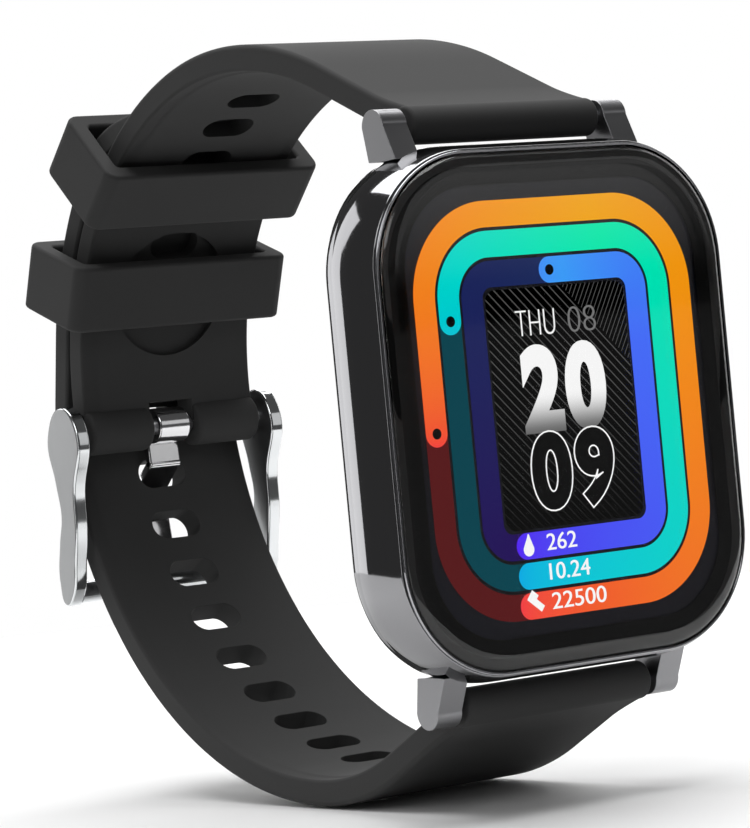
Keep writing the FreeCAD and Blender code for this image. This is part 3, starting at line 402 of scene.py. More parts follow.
class Finish:
    """What a surface is made of; each finish makes its material once."""

    name: str

    def material(self) -> bpy.types.Material:
        """The finish's material, made on first use."""
        found = bpy.data.materials.get(self.name)
        if found:
            return found
        material = bpy.data.materials.new(self.name)
        material.use_nodes = True
        self.dress(material.node_tree, material.node_tree.nodes["Principled BSDF"])
        return material

    def dress(self, tree: bpy.types.NodeTree, shader: bpy.types.Node) -> None:
        """Sets the material's shader."""
        raise NotImplementedError


@dataclass(frozen=True)
class Solid(Finish):
    """An opaque finish with a grain, a range of gloss and a slight change of shade."""

    name: str
    colour: Colour
    metallic: float = 0.0
    smooth: float = 0.3
    rough: float = 0.4
    grain: float = 2500.0
    depth: float = 0.1
    stretch: float = 1.0
    shift: float = 0.15
    specular: float = 0.5

    def dress(self, tree: bpy.types.NodeTree, shader: bpy.types.Node) -> None:
        """Sets gloss, shade and grain."""
        grain = add_node(tree, "Group", {"Scale": self.grain, "Depth": self.depth, "Smooth": self.smooth,
                                         "Rough": self.rough, "Stretch": self.stretch}, node_tree=grain_group())
        dark, pale = [(*[c * (1 + way * self.shift) for c in self.colour], 1) for way in (-1, 1)]
        mix = add_node(tree, "Mix", {"A": dark, "B": pale}, data_type="RGBA")
        wire(tree, (grain.outputs["Shade"], mix.inputs["Factor"]),
             (mix.outputs["Result"], shader.inputs["Base Color"]),
             (grain.outputs["Roughness"], shader.inputs["Roughness"]),
             (grain.outputs["Normal"], shader.inputs["Normal"]))
        set_inputs(shader, {"Metallic": self.metallic, "Specular IOR Level": self.specular})


@dataclass(frozen=True)
class Clear(Finish):
    """Glass that light goes through."""

    name: str
    colour: Colour = (1.0, 1.0, 1.0)
    gloss: float = 0.015
    smudge: float = 0.02

    def dress(self, tree: bpy.types.NodeTree, shader: bpy.types.Node) -> None:
        """Sets a clear body with faint finger smudges in its gloss."""
        place = add_node(tree, "TexCoord")
        smudge = add_node(tree, "TexNoise", {"Scale": 60.0})
        gloss = add_node(tree, "MapRange", {"To Min": self.gloss, "To Max": self.gloss + self.smudge})
        wire(tree, (place.outputs["Object"], smudge.inputs["Vector"]),
             (smudge.outputs[0], gloss.inputs["Value"]), (gloss.outputs[0], shader.inputs["Roughness"]))
        set_inputs(shader, {"Base Color": (*self.colour, 1), "Transmission Weight": 1.0, "IOR": 1.5})


@dataclass(frozen=True)
class Lit(Finish):
    """A part of the display that glows in colours which change along its run, the map's first axis."""

    name: str
    stops: tuple[tuple[float, Colour], ...]

    def dress(self, tree: bpy.types.NodeTree, shader: bpy.types.Node) -> None:
        """Sets a ramp of colour along the piece's own map."""
        place = add_node(tree, "UVMap")
        split = add_node(tree, "SeparateXYZ")
        ramp = add_node(tree, "ValToRGB")
        wire(tree, (place.outputs[0], split.inputs[0]), (split.outputs["X"], ramp.inputs["Fac"]))
        elements = ramp.color_ramp.elements
        for end in (0, -1):
            elements[end].position, elements[end].color = self.stops[end][0], linear(self.stops[end][1])
        for position, colour in self.stops[1:-1]:
            elements.new(position).color = linear(colour)
        glow(tree, shader, ramp.outputs["Color"])


@dataclass(frozen=True)
class Faded(Finish):
    """Digits that glow white and fade to grey towards their foot."""

    name: str
    top: float
    foot: float
    grey: Colour = (105, 105, 105)

    def dress(self, tree: bpy.types.NodeTree, shader: bpy.types.Node) -> None:
        """Sets the fade between two heights."""
        share = height_share(tree, {"From Min": self.foot * MM, "From Max": self.top * MM},
                             interpolation_type="SMOOTHSTEP")
        mix = add_node(tree, "Mix", {"A": linear(self.grey), "B": (1, 1, 1, 1)}, data_type="RGBA")
        wire(tree, (share, mix.inputs["Factor"]))
        glow(tree, shader, mix.outputs["Result"])


@dataclass(frozen=True)
class Glowing(Finish):
    """A card that glows more from one height to another, in metres."""

    name: str
    foot: float
    top: float
    strength: float

    def dress(self, tree: bpy.types.NodeTree, shader: bpy.types.Node) -> None:
        """Sets the rise of its glow."""
        glow(tree, shader, height_share(tree, {"From Min": self.foot, "From Max": self.top}), self.strength)


@dataclass(frozen=True)
class Striped(Finish):
    """The dark middle of the display, with thin slanting lines that change their slant in one corner."""

    name: str
    pitch: float = 0.56
    line: float = 0.15
    corner: float = 10.0        # X plus Z past which the slant changes
    main: Place = (math.sqrt(0.5), math.sqrt(0.5))
    other: Place = (0.87, -0.5)
    closer: float = 0.7         # pitch in that corner, as a share
    foot: float = -9.0
    top: float = 3.0
    least: float = 0.1
    grey: Colour = (86, 86, 86)

    def across(self, tree: bpy.types.NodeTree, way: Place, scale: float, operation: str,
               limit: float) -> bpy.types.NodeSocket:
        """Measures a distance over the display and compares it with a limit.

        Args:
            tree: The material's tree.
            way: The way that is measured, in X and Z.
            scale: Millimetres to one unit.
            operation: FRACT to repeat at every unit, or GREATER_THAN to measure from the middle.
            limit: The limit.

        Returns:
            The socket that holds the mask.
        """
        place = add_node(tree, "TexCoord")
        distance = add_node(tree, "VectorMath", {1: (way[0] / (scale * MM), 0, way[1] / (scale * MM))},
                            operation="DOT_PRODUCT")
        wire(tree, (place.outputs["Object"], distance.inputs[0]))
        if operation == "GREATER_THAN":
            past = add_node(tree, "Math", {1: limit}, operation=operation)
            wire(tree, (distance.outputs["Value"], past.inputs[0]))
            return past.outputs[0]
        part = add_node(tree, "Math", operation=operation)
        mask = add_node(tree, "Math", {1: limit}, operation="LESS_THAN")
        wire(tree, (distance.outputs["Value"], part.inputs[0]), (part.outputs[0], mask.inputs[0]))
        return mask.outputs[0]

    def dress(self, tree: bpy.types.NodeTree, shader: bpy.types.Node) -> None:
        """Sets the two sets of lines on black."""
        chosen = add_node(tree, "Mix")
        grey = add_node(tree, "Mix", {"A": (0, 0, 0, 1), "B": linear(self.grey)}, data_type="RGBA")
        fade = height_share(tree, {"From Min": self.foot * MM, "From Max": self.top * MM,
                                   "To Min": self.least})
        dimmed = add_node(tree, "Math", operation="MULTIPLY")
        wire(tree, (self.across(tree, self.main, 1, "GREATER_THAN", self.corner * self.main[0]),
                    chosen.inputs["Factor"]),
             (self.across(tree, self.main, self.pitch, "FRACT", self.line), chosen.inputs["A"]),
             (self.across(tree, self.other, self.closer * self.pitch, "FRACT", self.line),
              chosen.inputs["B"]),
             (chosen.outputs["Result"], dimmed.inputs[0]), (fade, dimmed.inputs[1]),
             (dimmed.outputs[0], grey.inputs["Factor"]))
        glow(tree, shader, grey.outputs["Result"])


def linear(colour: Sequence[float]) -> tuple[float, ...]:
    """Turns display values from 0 to 255 into light values.

    Args:
        colour: Red, green and blue as a display states them.

    Returns:
        The same colour as light, opaque.
    """
    return (*[(c / 255 / 12.92) if c <= 10 else ((c / 255 + 0.055) / 1.055) ** 2.4 for c in colour], 1)


def glow(tree: bpy.types.NodeTree, shader: bpy.types.Node, colour: bpy.types.NodeSocket,
         strength: float = 1.0) -> None:
    """Makes a surface shine in a colour."""
    set_inputs(shader, {"Base Color": (0, 0, 0, 1), "Roughness": 0.5, "Specular IOR Level": 0.0,
                        "Emission Strength": strength})
    wire(tree, (colour, shader.inputs["Emission Color"]))


GUNMETAL = Solid("gunmetal_gloss", (0.30, 0.30, 0.31), 1.0, 0.05, 0.09, 900.0, 0.01, shift=0.05)
LUG_SATIN = Solid("lug_satin", (0.30, 0.30, 0.31), 1.0, 0.28, 0.38, 4000.0, 0.05, shift=0.05)
BEZEL = Solid("bezel_polish", (0.42, 0.42, 0.44), 1.0, 0.05, 0.10, 900.0, 0.01, shift=0.04)
SILICONE = Solid("strap_silicone", (0.005, 0.005, 0.0055), 0.0, 0.42, 0.58, 5200.0, 0.22, shift=0.14,
                 specular=0.38)
KEEPER = Solid("keeper_silicone", (0.0065, 0.0065, 0.007), 0.0, 0.5, 0.66, 5200.0, 0.28, shift=0.14,
               specular=0.36)
# The buckle's flat sides are brushed, and they are darker than the polished steel as painted shade.
BUCKLE_SATIN_PAINTED_SHADE = Solid("buckle_satin_painted_shade", (0.36, 0.365, 0.37), 1.0, 0.32, 0.44, 2600.0, 0.12, stretch=0.15,
                     shift=0.05)
BUCKLE_POLISH = Solid("buckle_polish", (0.78, 0.80, 0.81), 1.0, 0.07, 0.16, 1500.0, 0.03, shift=0.05)
TANG = Solid("tang_polish", (0.80, 0.80, 0.81), 1.0, 0.08, 0.18, 1500.0, 0.03, shift=0.05)
STEEL = Solid("spring_steel", (0.55, 0.55, 0.56), 1.0, 0.2, 0.35, 2500.0, 0.08, stretch=0.3)
COVER = Solid("cover_plastic", (0.014, 0.014, 0.015), 0.0, 0.45, 0.58, 6500.0, 0.35, shift=0.12)
INK = Solid("border_ink", (0.002, 0.002, 0.002), 0.0, 0.35, 0.5, 2500.0, 0.02, specular=0.1)
PANEL = Solid("panel_black", (0.002, 0.002, 0.002), 0.0, 0.3, 0.5, 2500.0, 0.02, specular=0.1)
GLASS = Clear("front_glass")
WINDOW = Clear("sensor_glass", (0.12, 0.12, 0.14), 0.03)


# ------------------------------------------------------------------ outlines
@dataclass
class Outline:
    """A rectangle with round corners, square to Y, that the case, glass and display share."""

    half_x: float
    half_z: float
    corner: float
    segments: int = 20

    def plate(self, inset: float, depth: float, facing: int) -> Piece:
        """Adds the outline as one face.

        Args:
            inset: How far inside the outline its edge lies.
            depth: Its place along Y.
            facing: -1 to face forwards and 1 to face the wrist.

        Returns:
            The plate.
        """
        put_down()
        bpy.ops.mesh.primitive_plane_add(size=2, location=(0, depth, 0),
                                         rotation=(-facing * math.pi / 2, 0, 0))
        piece = bpy.context.object
        piece.scale = (self.half_x - inset, self.half_z - inset, 1)
        settle(piece)
        with editing(piece, whole=True):
            bpy.ops.mesh.bevel(offset=max(self.corner - inset, 0.05), segments=self.segments,
                               affect="VERTICES")
        return piece

    def walk(self, inset: float, facing: int, steps: Sequence[Place], start: float,
             closed: bool = True) -> Piece:
        """Carries a plate through a list of places, each an inset and a depth.

        Args:
            inset: The plate's inset.
            facing: The way the plate faces.
            steps: The places in order; an inset never falls.
            start: The plate's depth.
            closed: Whether the last face stays.

        Returns:
            The walked shell.
        """
        piece = self.plate(inset, start, facing)
        depth = start
        with editing(piece, "FACE", True):
            for next_inset, next_depth in steps:
                rise = (next_depth - depth) * facing
                if next_inset - inset > 1e-6:
                    bpy.ops.mesh.inset(thickness=next_inset - inset, depth=rise, use_even_offset=True)
                else:
                    push((0, next_depth - depth, 0))
                inset, depth = next_inset, next_depth
            if not closed:
                bpy.ops.mesh.delete(type="FACE")
        return piece

    def ring(self, outer: float, inner: float, front: float, back: float, edge: float = 0.0) -> Piece:
        """A ring between two insets, with its front edges rounded."""
        piece = self.walk(outer, -1, [(outer, front)], back)
        piece = clean(piece)
        hole = self.plate(inner, back + 1, -1)
        with editing(hole, "FACE", True):
            push((0, front - back - 2, 0))
        combine(piece, clean(hole))
        if edge:
            soften(piece, edge, 3, 50.0)
        return piece


def quarter(start: Place, end: Place, steps: int, power: float = 2.0) -> list[Place]:
    """A quarter of an oval that leaves its start along Y and meets its end along the plate.

    Args:
        start: Inset and depth where it leaves.
        end: Inset and depth where it ends.
        steps: How many places to give.
        power: 2 for an oval, more for a squarer curve.

    Returns:
        The places after the start.
    """
    places = []
    for step in range(1, steps + 1):
        turn = math.pi / 2 * step / steps
        across = 1 - math.cos(turn) ** (2 / power)
        along = math.sin(turn) ** (2 / power)
        places.append((start[0] + (end[0] - start[0]) * across, start[1] + (end[1] - start[1]) * along))
    return places


# ------------------------------------------------------------------ case
@dataclass
class Case:
    """The glossy frame with its four lugs, the polished lip, the glass, the back cover and its window."""

    corner: float = 10.0
    widest: float = -7.2        # depth of the barrel's widest line
    barrel: float = 0.042       # inset per square millimetre from the widest line
    rim_round: float = 0.22
    seat: float = 0.62          # frame's inner edge at the front
    wall: float = 2.4
    glass_inset: float = 0.9
    glass_roll: float = 1.5     # width of the glass's curved border
    glass_side: float = 0.25
    cover_inset: float = field(init=False)
    lug_width: float = 2.4
    lug_gap: float = 20.0
    lug_tip: float = 1.35
    lug_root: float = 1.75      # half depth of a lug where it meets the frame
    lug_root_depth: float = -6.35
    button_grow: float = 0.05
    cover_dome: float = 2.3
    window_play: float = 0.06
    window_ledge: float = 0.7
    screw_head: float = 1.1
    contact: float = 0.9
    outline: Outline = field(init=False)

    def __post_init__(self) -> None:
        """Reads the frame's sizes."""
        frame_high = box_mm("case_frame")[1]
        cover_high = box_mm("back_cover")[1]
        self.rim = box_mm("case_frame")[0].y
        self.back = cover_high.y
        self.split = frame_high.y
        half_x = -box_mm("case_frame")[0].x
        self.cover_inset = half_x - cover_high.x
        self.outline = Outline(half_x, cover_high.z + self.cover_inset, self.corner)
        self.glass_front, self.glass_back = box_mm("cover_glass")[0].y, box_mm("cover_glass")[1].y
        self.ledge = box_mm("glass_gasket")[1].y
        self.bar = Vector((0, middle_mm("upper_bar_tube").y, middle_mm("upper_bar_tube").z))

    def barrel_places(self, low: float, high: float, steps: int) -> list[Place]:
        """Places down the barrel between two depths."""
        depths = [low + (high - low) * k / steps for k in range(1, steps + 1)]
        return [(self.barrel * (depth - self.widest) ** 2, depth) for depth in depths]

    def shell(self) -> Piece:
        """The frame as one turned skin, open through its middle.

        Returns:
            The shell before its lugs.
        """
        front = self.barrel_places(self.widest, self.rim + self.rim_round, 9)
        edge = front[-1]
        front += quarter(edge, (self.seat - 0.02, self.rim), 5)
        front += [(self.seat, self.rim), (self.seat, self.ledge), (self.wall, self.ledge),
                  (self.wall, self.widest)]
        back = [(2 * inset, depth) for inset, depth in self.barrel_places(self.widest, self.split - 1.9, 7)]
        back += quarter(back[-1], (self.cover_inset + 0.1, self.split), 7)
        back += [(self.wall, self.split), (self.wall, self.widest)]
        halves = [self.outline.walk(0, facing, places, self.widest, False)
                  for facing, places in ((-1, front), (1, back))]
        return clean(join(*halves), 1e-3)

    def lug(self, side_x: int, side_z: int) -> Piece:
        """One lug: a round tip about the spring bar, drawn out to its root in the frame.

        Args:
            side_x: 1 or -1 for the right or left side.
            side_z: 1 or -1 for the upper or lower end.

        Returns:
            The lug.
        """
        inner = self.lug_gap / 2
        put_down()
        place = (inner, self.bar.y, self.bar.z)
        bpy.ops.mesh.primitive_circle_add(vertices=40, radius=self.lug_tip, fill_type="NGON", location=place,
                                          rotation=Axis.X.value)
        piece = settle(bpy.context.object)
        root_z = self.outline.half_z - 0.8
        with editing(piece):
            select(piece, Grip.POINT, lambda point: point.z < self.bar.z - 1e-3)
            bpy.ops.transform.resize(value=(1, self.lug_root / self.lug_tip, 0.05), center_override=place)
            shift = (0, self.lug_root_depth - self.bar.y, root_z - self.bar.z)
            bpy.ops.transform.translate(value=shift)
            bpy.ops.mesh.select_mode(type="FACE")
            bpy.ops.mesh.select_all(action="SELECT")
            push((self.lug_width, 0, 0))
        clean(piece)
        piece.scale = (side_x, 1, side_z)
        settle(piece)
        clean(piece)
        return soften(piece, 0.28, 4, 50.0)

    def frame(self) -> None:
        """The frame with its lugs, in a second finish, and the opening for the button."""
        piece = self.shell()
        button_low, button_high = box_mm("button_cap")
        grow = self.button_grow
        slot = pill((button_low.y + button_high.y) / 2, button_high.z + grow,
                    (button_high.y - button_low.y) / 2 + grow, button_low.x - 0.4, button_high.x + 2)
        combine(piece, slot)
        lugs = [self.lug(sx, sz) for sx in (-1, 1) for sz in (-1, 1)]
        count = len(piece.data.polygons)
        piece = join(piece, *lugs)
        deliver(piece, "case_shell", "case", [GUNMETAL, LUG_SATIN], ["case_frame"],
                second=lambda face: face.index >= count)

    def lip(self) -> None:
        """The thin polished lip around the glass."""
        low, high = box_mm("front_bezel")
        piece = self.outline.ring(self.seat + 0.01, self.glass_inset - 0.04, low.y, high.y, 0.09)
        deliver(piece, "bezel_lip", "case", [BEZEL], ["front_bezel"])

    def glass(self) -> None:
        """The cover glass with its rolled border."""
        side = self.glass_back - self.glass_side
        steps = [(self.glass_inset, side)]
        steps += quarter((self.glass_inset, side), (self.glass_inset + self.glass_roll, self.glass_front), 14)
        piece = clean(self.outline.walk(self.glass_inset, -1, steps, self.glass_back))
        deliver(piece, "curved_glass", "case", [GLASS], ["cover_glass"])

    def ink(self) -> None:
        """The black border printed under the glass."""
        front = self.glass_back + 0.01
        piece = self.outline.ring(self.glass_inset + 0.12, 3.35, front, front + 0.04)
        deliver(piece, "border_ink", "case", [INK], ["touch_panel"])

    def cover(self) -> None:
        """The back cover, domed at its border and opened for the window, screws and contacts."""
        steps = quarter((self.cover_inset, self.split), (self.cover_inset + self.cover_dome, self.back), 10)
        piece = clean(self.outline.walk(self.cover_inset, 1, steps, self.split))
        low, high = box_mm("sensor_window")
        radius, height = (high.x - low.x) / 2, (low.z + high.z) / 2
        holes = [(0, height, radius + self.window_play, 2 * (self.back + 1.5), 96),
                 (0, height, radius - self.window_ledge, 9, 96)]
        low, high = box_mm("case_screws")
        head = self.screw_head
        holes += [(x, z, head + 0.05, 1.2, 40) for x in (low.x + head, high.x - head)
                  for z in (low.z + head, high.z - head)]
        low, high = box_mm("charging_contacts")
        holes += [(x, (low.z + high.z) / 2, self.contact + 0.02, 1.0, 40)
                  for x in (low.x + self.contact, high.x - self.contact)]
        for x, z, reach, depth, sides in holes:
            combine(piece, rod(Axis.Y, (x, self.back, z), reach, depth, sides))
        soften(piece, 0.1, 2, 50.0)
        deliver(piece, "rear_shell", "case", [COVER], ["back_cover"])

    def window(self) -> None:
        """The sensor window, a slightly domed glass disc."""
        low, high = box_mm("sensor_window")
        radius = (high.x - low.x) / 2
        piece = rod(Axis.Y, (0, (low.y + high.y) / 2, 0), radius, high.y - low.y, 96)
        with editing(piece, "EDGE"):
            bevel_edges(piece, lambda a, b: min(a.y, b.y) > high.y - 1e-4, 0.45, 6)
        deliver(piece, "window_disc", "case", [WINDOW], ["sensor_window"])

    def button(self) -> None:
        """The side button's pill-shaped cap with a shallow crown."""
        low, high = box_mm("button_cap")
        piece = pill((low.y + high.y) / 2, high.z, (high.y - low.y) / 2, low.x, high.x)
        with editing(piece, "EDGE"):
            bevel_edges(piece, lambda a, b: min(a.x, b.x) > high.x - 1e-4, 0.42, 5)
        deliver(piece, "button_cap_shell", "button", [GUNMETAL], ["button_cap"])

    def build(self) -> None:
        """Builds every piece of the case."""
        self.frame()
        self.lip()
        self.glass()
        self.ink()
        self.cover()
        self.window()
        self.button()


def pill(depth: float, reach: float, radius: float, low: float, high: float) -> Piece:
    """A rod with a pill-shaped section along X.

    Args:
        depth: Its centre along Y.
        reach: Half its length along Z.
        radius: Half its width.
        low: Lowest x.
        high: Highest x.

    Returns:
        The pill.
    """
    piece = rod(Axis.X, ((low + high) / 2, depth, 0), radius, high - low, 56)
    with editing(piece):
        for side in (-1, 1):
            select(piece, Grip.POINT, lambda point: side * point.z > 1e-4)
            bpy.ops.transform.translate(value=(0, 0, side * (reach - radius)))
    return piece


# ------------------------------------------------------------------ display
def as_label(text: str, low: Place, high: Place, depth: float, thick: float = 0.02, bold: float = 0.0,
             line: float = 0.0, space: float = 1.0) -> Piece:
    """Sets generic digits or letters into a box on the display.

    Args:
        text: What it says.
        low: Lowest X and Z of its box.
        high: Highest X and Z of its box.
        depth: Its place along Y.
        thick: Half its thickness.
        bold: How much its strokes are widened, as a share of its height.
        line: If not zero, only its outline is drawn, with a line of this half width.
        space: Distance between its characters, as a share of the usual.

    Returns:
        The text as a mesh.
    """
    put_down()
    bpy.ops.object.text_add()
    piece = bpy.context.object
    piece.data.body = text
    piece.data.offset = bold
    piece.data.space_character = space
    piece.data.resolution_u = 8
    if line:
        piece.data.fill_mode = "NONE"
        piece.data.bevel_depth = line / (high[1] - low[1])
        piece.data.bevel_resolution = 1
    else:
        piece.data.extrude = thick / (high[1] - low[1])
    bpy.ops.object.convert(target="MESH")
    piece = bpy.context.object
    corners = [Vector(corner) for corner in piece.bound_box]
    least, most = corners[0], corners[6]
    size = ((high[0] - low[0]) / (most.x - least.x), (high[1] - low[1]) / (most.y - least.y))
    piece.scale = (*size, (size[0] + size[1]) / 2)
    piece.location = (low[0] - least.x * size[0], low[1] - least.y * size[1], 0)
    settle(piece)
    piece.rotation_euler = (math.pi / 2, 0, 0)
    piece.location = (0, depth, 0)
    return settle(piece)


@dataclass
class RingTrack:
    """One activity ring: a closed band along a rounded rectangle, lit from its start to its cap."""

    name: str
    inset: float
    start_x: float
    cap: Place
    stops: tuple[tuple[float, Colour], ...]
    rest: tuple[tuple[float, Colour], ...]


@dataclass
class Display:
    """The lit picture: three rings, their numbers, and a striped middle with the day and the time."""

    half_x: float = 13.985
    half_z: float = 16.315
    corner: float = 7.6
    pitch: float = 2.33
    band: float = 2.06
    layer: float = 0.03
    run_rise: float = 0.06          # how far the lit run, the dots and the labels stand off the panel
    dot_rise: float = 0.09
    label_rise: float = 0.1
    dot: float = 0.42
    flame: Place = (-5.05, -10.9)
    flame_radius: float = 0.52
    shoe: Place = (-4.75, -15.1)
    shoe_turn: float = 38.0
    front: float = field(init=False)

    def __post_init__(self) -> None:
        """Reads where the display's face is."""
        self.front = box_mm("display_panel")[0].y

    def path(self, inset: float, start_x: float) -> tuple[Callable[[float], tuple[Place, Place]], float]:
        """The line that a ring follows, anticlockwise from a place on its lower side.

        Args:
            inset: How far inside the display's edge it runs.
            start_x: Where it starts.

        Returns:
            A function from a distance to a point and the way outwards, and the whole length.
        """
        x, z, corner = self.half_x - inset, self.half_z - inset, self.corner - inset
        turn = corner * math.pi / 2
        sides = [(x - corner) - start_x, turn, 2 * (z - corner), turn, 2 * (x - corner), turn, 2 * (z - corner), turn,
                 start_x + (x - corner)]
        total = sum(sides)
        middles = [(x - corner, corner - z), (x - corner, z - corner), (corner - x, z - corner),
                   (corner - x, corner - z)]

        def at(distance: float) -> tuple[Place, Place]:
            """The point and the outward way at a distance."""
            point = (start_x, -z)
            heading = 0.0
            for number, length in enumerate(sides):
                part = min(distance, length)
                if number % 2:
                    centre = middles[number // 2]
                    heading = math.pi / 2 * (number // 2) + part / corner
                    way = (math.sin(heading), -math.cos(heading))
                    point = (centre[0] + corner * way[0], centre[1] + corner * way[1])
                else:
                    point = (point[0] + part * math.cos(heading), point[1] + part * math.sin(heading))
                distance -= length
                if distance <= 0:
                    break
            return point, (math.sin(heading), -math.cos(heading))

        return at, total

    def band_piece(self, at: Callable[[float], tuple[Place, Place]], length: float, depth: float,
                   rounded: bool) -> Piece:
        """Lays a strip along a ring's line.

        Args:
            at: The line.
            length: How much of it is covered.
            depth: The strip's place along Y.
            rounded: Whether its ends are round.

        Returns:
            The strip, whose map runs from 0 to 1 along it.
        """
        put_down()
        bpy.ops.mesh.primitive_grid_add(x_subdivisions=420, y_subdivisions=1, size=2)
        piece = bpy.context.object
        half = self.band / 2
        for point in piece.data.vertices:
            share = (point.co.x + 1) / 2
            distance = length * ((1 - math.cos(math.pi * share)) / 2 if rounded else share)
            near = min(distance, length - distance)
            width = math.sqrt(max(half ** 2 - (half - near) ** 2, 0)) if rounded and near < half else half
            place, out = at(distance)
            aside = -width if point.co.y > 0 else width
            point.co = (place[0] + out[0] * aside, depth, place[1] + out[1] * aside)
        return modify(piece, "SOLIDIFY", thickness=self.layer, offset=0.0)

    def ring(self, track: RingTrack) -> None:
        """Builds a ring's dark track, its lit run and the dot in its cap."""
        at, total = self.path(track.inset, track.start_x)
        steps = [total * k / 900 for k in range(901)]
        cap = min(steps, key=lambda d: math.dist(at(d)[0], track.cap))
        dark = self.band_piece(at, total, self.front - self.layer, False)
        self.show(dark, f"{track.name}_track", Lit(f"{track.name}_rest", track.rest))
        lit = self.band_piece(at, cap + self.band / 2, self.front - self.run_rise, True)
        self.show(lit, f"{track.name}_run", Lit(f"{track.name}_glow", track.stops))
        centre = at(cap)[0]
        dot = rod(Axis.Y, (centre[0], self.front - self.dot_rise, centre[1]), self.dot, self.layer, 28)
        self.show(dot, f"{track.name}_dot", PANEL)

    def show(self, piece: Piece, name: str, finish: Finish) -> None:
        """Delivers a piece of the picture."""
        deliver(piece, name, "case", [finish], shaded=False)

    def icons(self, white: Finish) -> None:
        """The flame and the shoe beside the numbers."""
        near, (x, z) = self.front - self.label_rise, self.flame
        flame = rod(Axis.Y, (x, near, z), self.flame_radius, self.layer, 20)
        with editing(flame):
            select(flame, Grip.POINT, lambda point: point.z > z + 0.3)
            bpy.ops.transform.resize(value=(0.25, 1, 1.0), center_override=(x, 0, z))
            bpy.ops.transform.translate(value=(0.05, 0, 0.7))
        self.show(flame, "flame_icon", white)
        sole = block((-0.95, -self.layer / 2, -0.3), (0.75, self.layer / 2, 0.25))
        heel = block((-0.95, -self.layer / 2, 0.1), (-0.2, self.layer / 2, 0.6))
        shoe = join(sole, heel)
        shoe.rotation_euler = (0, math.radians(self.shoe_turn), 0)
        shoe.location = (self.shoe[0], near, self.shoe[1])
        self.show(settle(shoe), "shoe_icon", white)

    def build(self) -> None:
        """Builds the whole picture."""
        outer = ((0.0, (250, 58, 72)), (0.2, (248, 96, 44)), (0.42, (250, 140, 22)), (0.58, (246, 168, 8)),
                 (0.8, (250, 122, 36)), (0.92, (248, 88, 50)), (1.0, (250, 62, 66)))
        middle = ((0.0, (0, 172, 236)), (0.22, (0, 205, 220)), (0.45, (0, 225, 195)), (0.62, (0, 238, 175)),
                  (0.8, (0, 222, 205)), (1.0, (0, 196, 220)))
        inner = ((0.0, (88, 26, 250)), (0.25, (76, 76, 250)), (0.6, (70, 110, 255)), (0.85, (62, 160, 255)),
                 (1.0, (74, 144, 255)))
        half = self.band / 2
        step = self.pitch
        tracks = [RingTrack("outer_ring", half, -6.35, (-12.83, -1.24), outer,
                            ((0.0, (88, 22, 24)), (1.0, (88, 22, 24)))),
                  RingTrack("middle_ring", half + step, -6.25, (-10.46, 7.26), middle,
                            ((0.0, (0, 62, 74)), (1.0, (0, 68, 80)))),
                  RingTrack("inner_ring", half + 2 * step, -6.2, (-0.4, 10.5), inner,
                            ((0.0, (34, 10, 84)), (0.6, (30, 44, 92)), (0.8, (28, 32, 92)), (1.0, (34, 12, 88))))]
        for track in tracks:
            self.ring(track)
        inset = 3 * self.pitch
        panel = Outline(self.half_x, self.half_z, inset + 0.9, 8).plate(inset - 0.02, self.front - self.layer, -1)
        modify(panel, "SOLIDIFY", thickness=self.layer, offset=0.0)
        self.show(panel, "striped_middle", Striped("stripes"))
        white, grey = [Lit(f"{name}_glow", ((0.0, (shade,) * 3), (1.0, (shade,) * 3)))
                       for name, shade in (("white", 255), ("grey", 120))]
        near = self.front - self.label_rise
        small, bold = {}, {"bold": 0.05, "space": 1.16}
        thin = {"bold": -0.022}
        for text, low, high, rise, style, name, finish in (
                ("THU", (-4.25, 5.6), (-0.35, 7.6), 0.0, thin, "day_name", white),
                ("08", (1.0, 5.6), (3.8, 7.6), 0.0, thin, "day_number", grey),
                ("20", (-4.25, -2.1), (4.25, 4.9), 0.0, bold, "hour", Faded("hour_glow", 1.2, -2.1)),
                ("09", (-4.15, -8.3), (4.35, -1.9), 0.03, bold, "minute_fill", PANEL),
                ("09", (-4.2, -8.35), (4.4, -1.85), 0.07, {**bold, "line": 0.05}, "minute", white),
                ("22500", (-3.2, -15.75), (2.3, -14.45), 0.0, small, "steps_number", white),
                ("10.24", (-3.2, -13.45), (0.9, -12.15), 0.0, small, "distance_number", white),
                ("262", (-3.2, -11.15), (-0.2, -9.85), 0.0, small, "energy_number", white)):
            self.show(as_label(text, low, high, near - rise, **style), name, finish)
        self.icons(white)


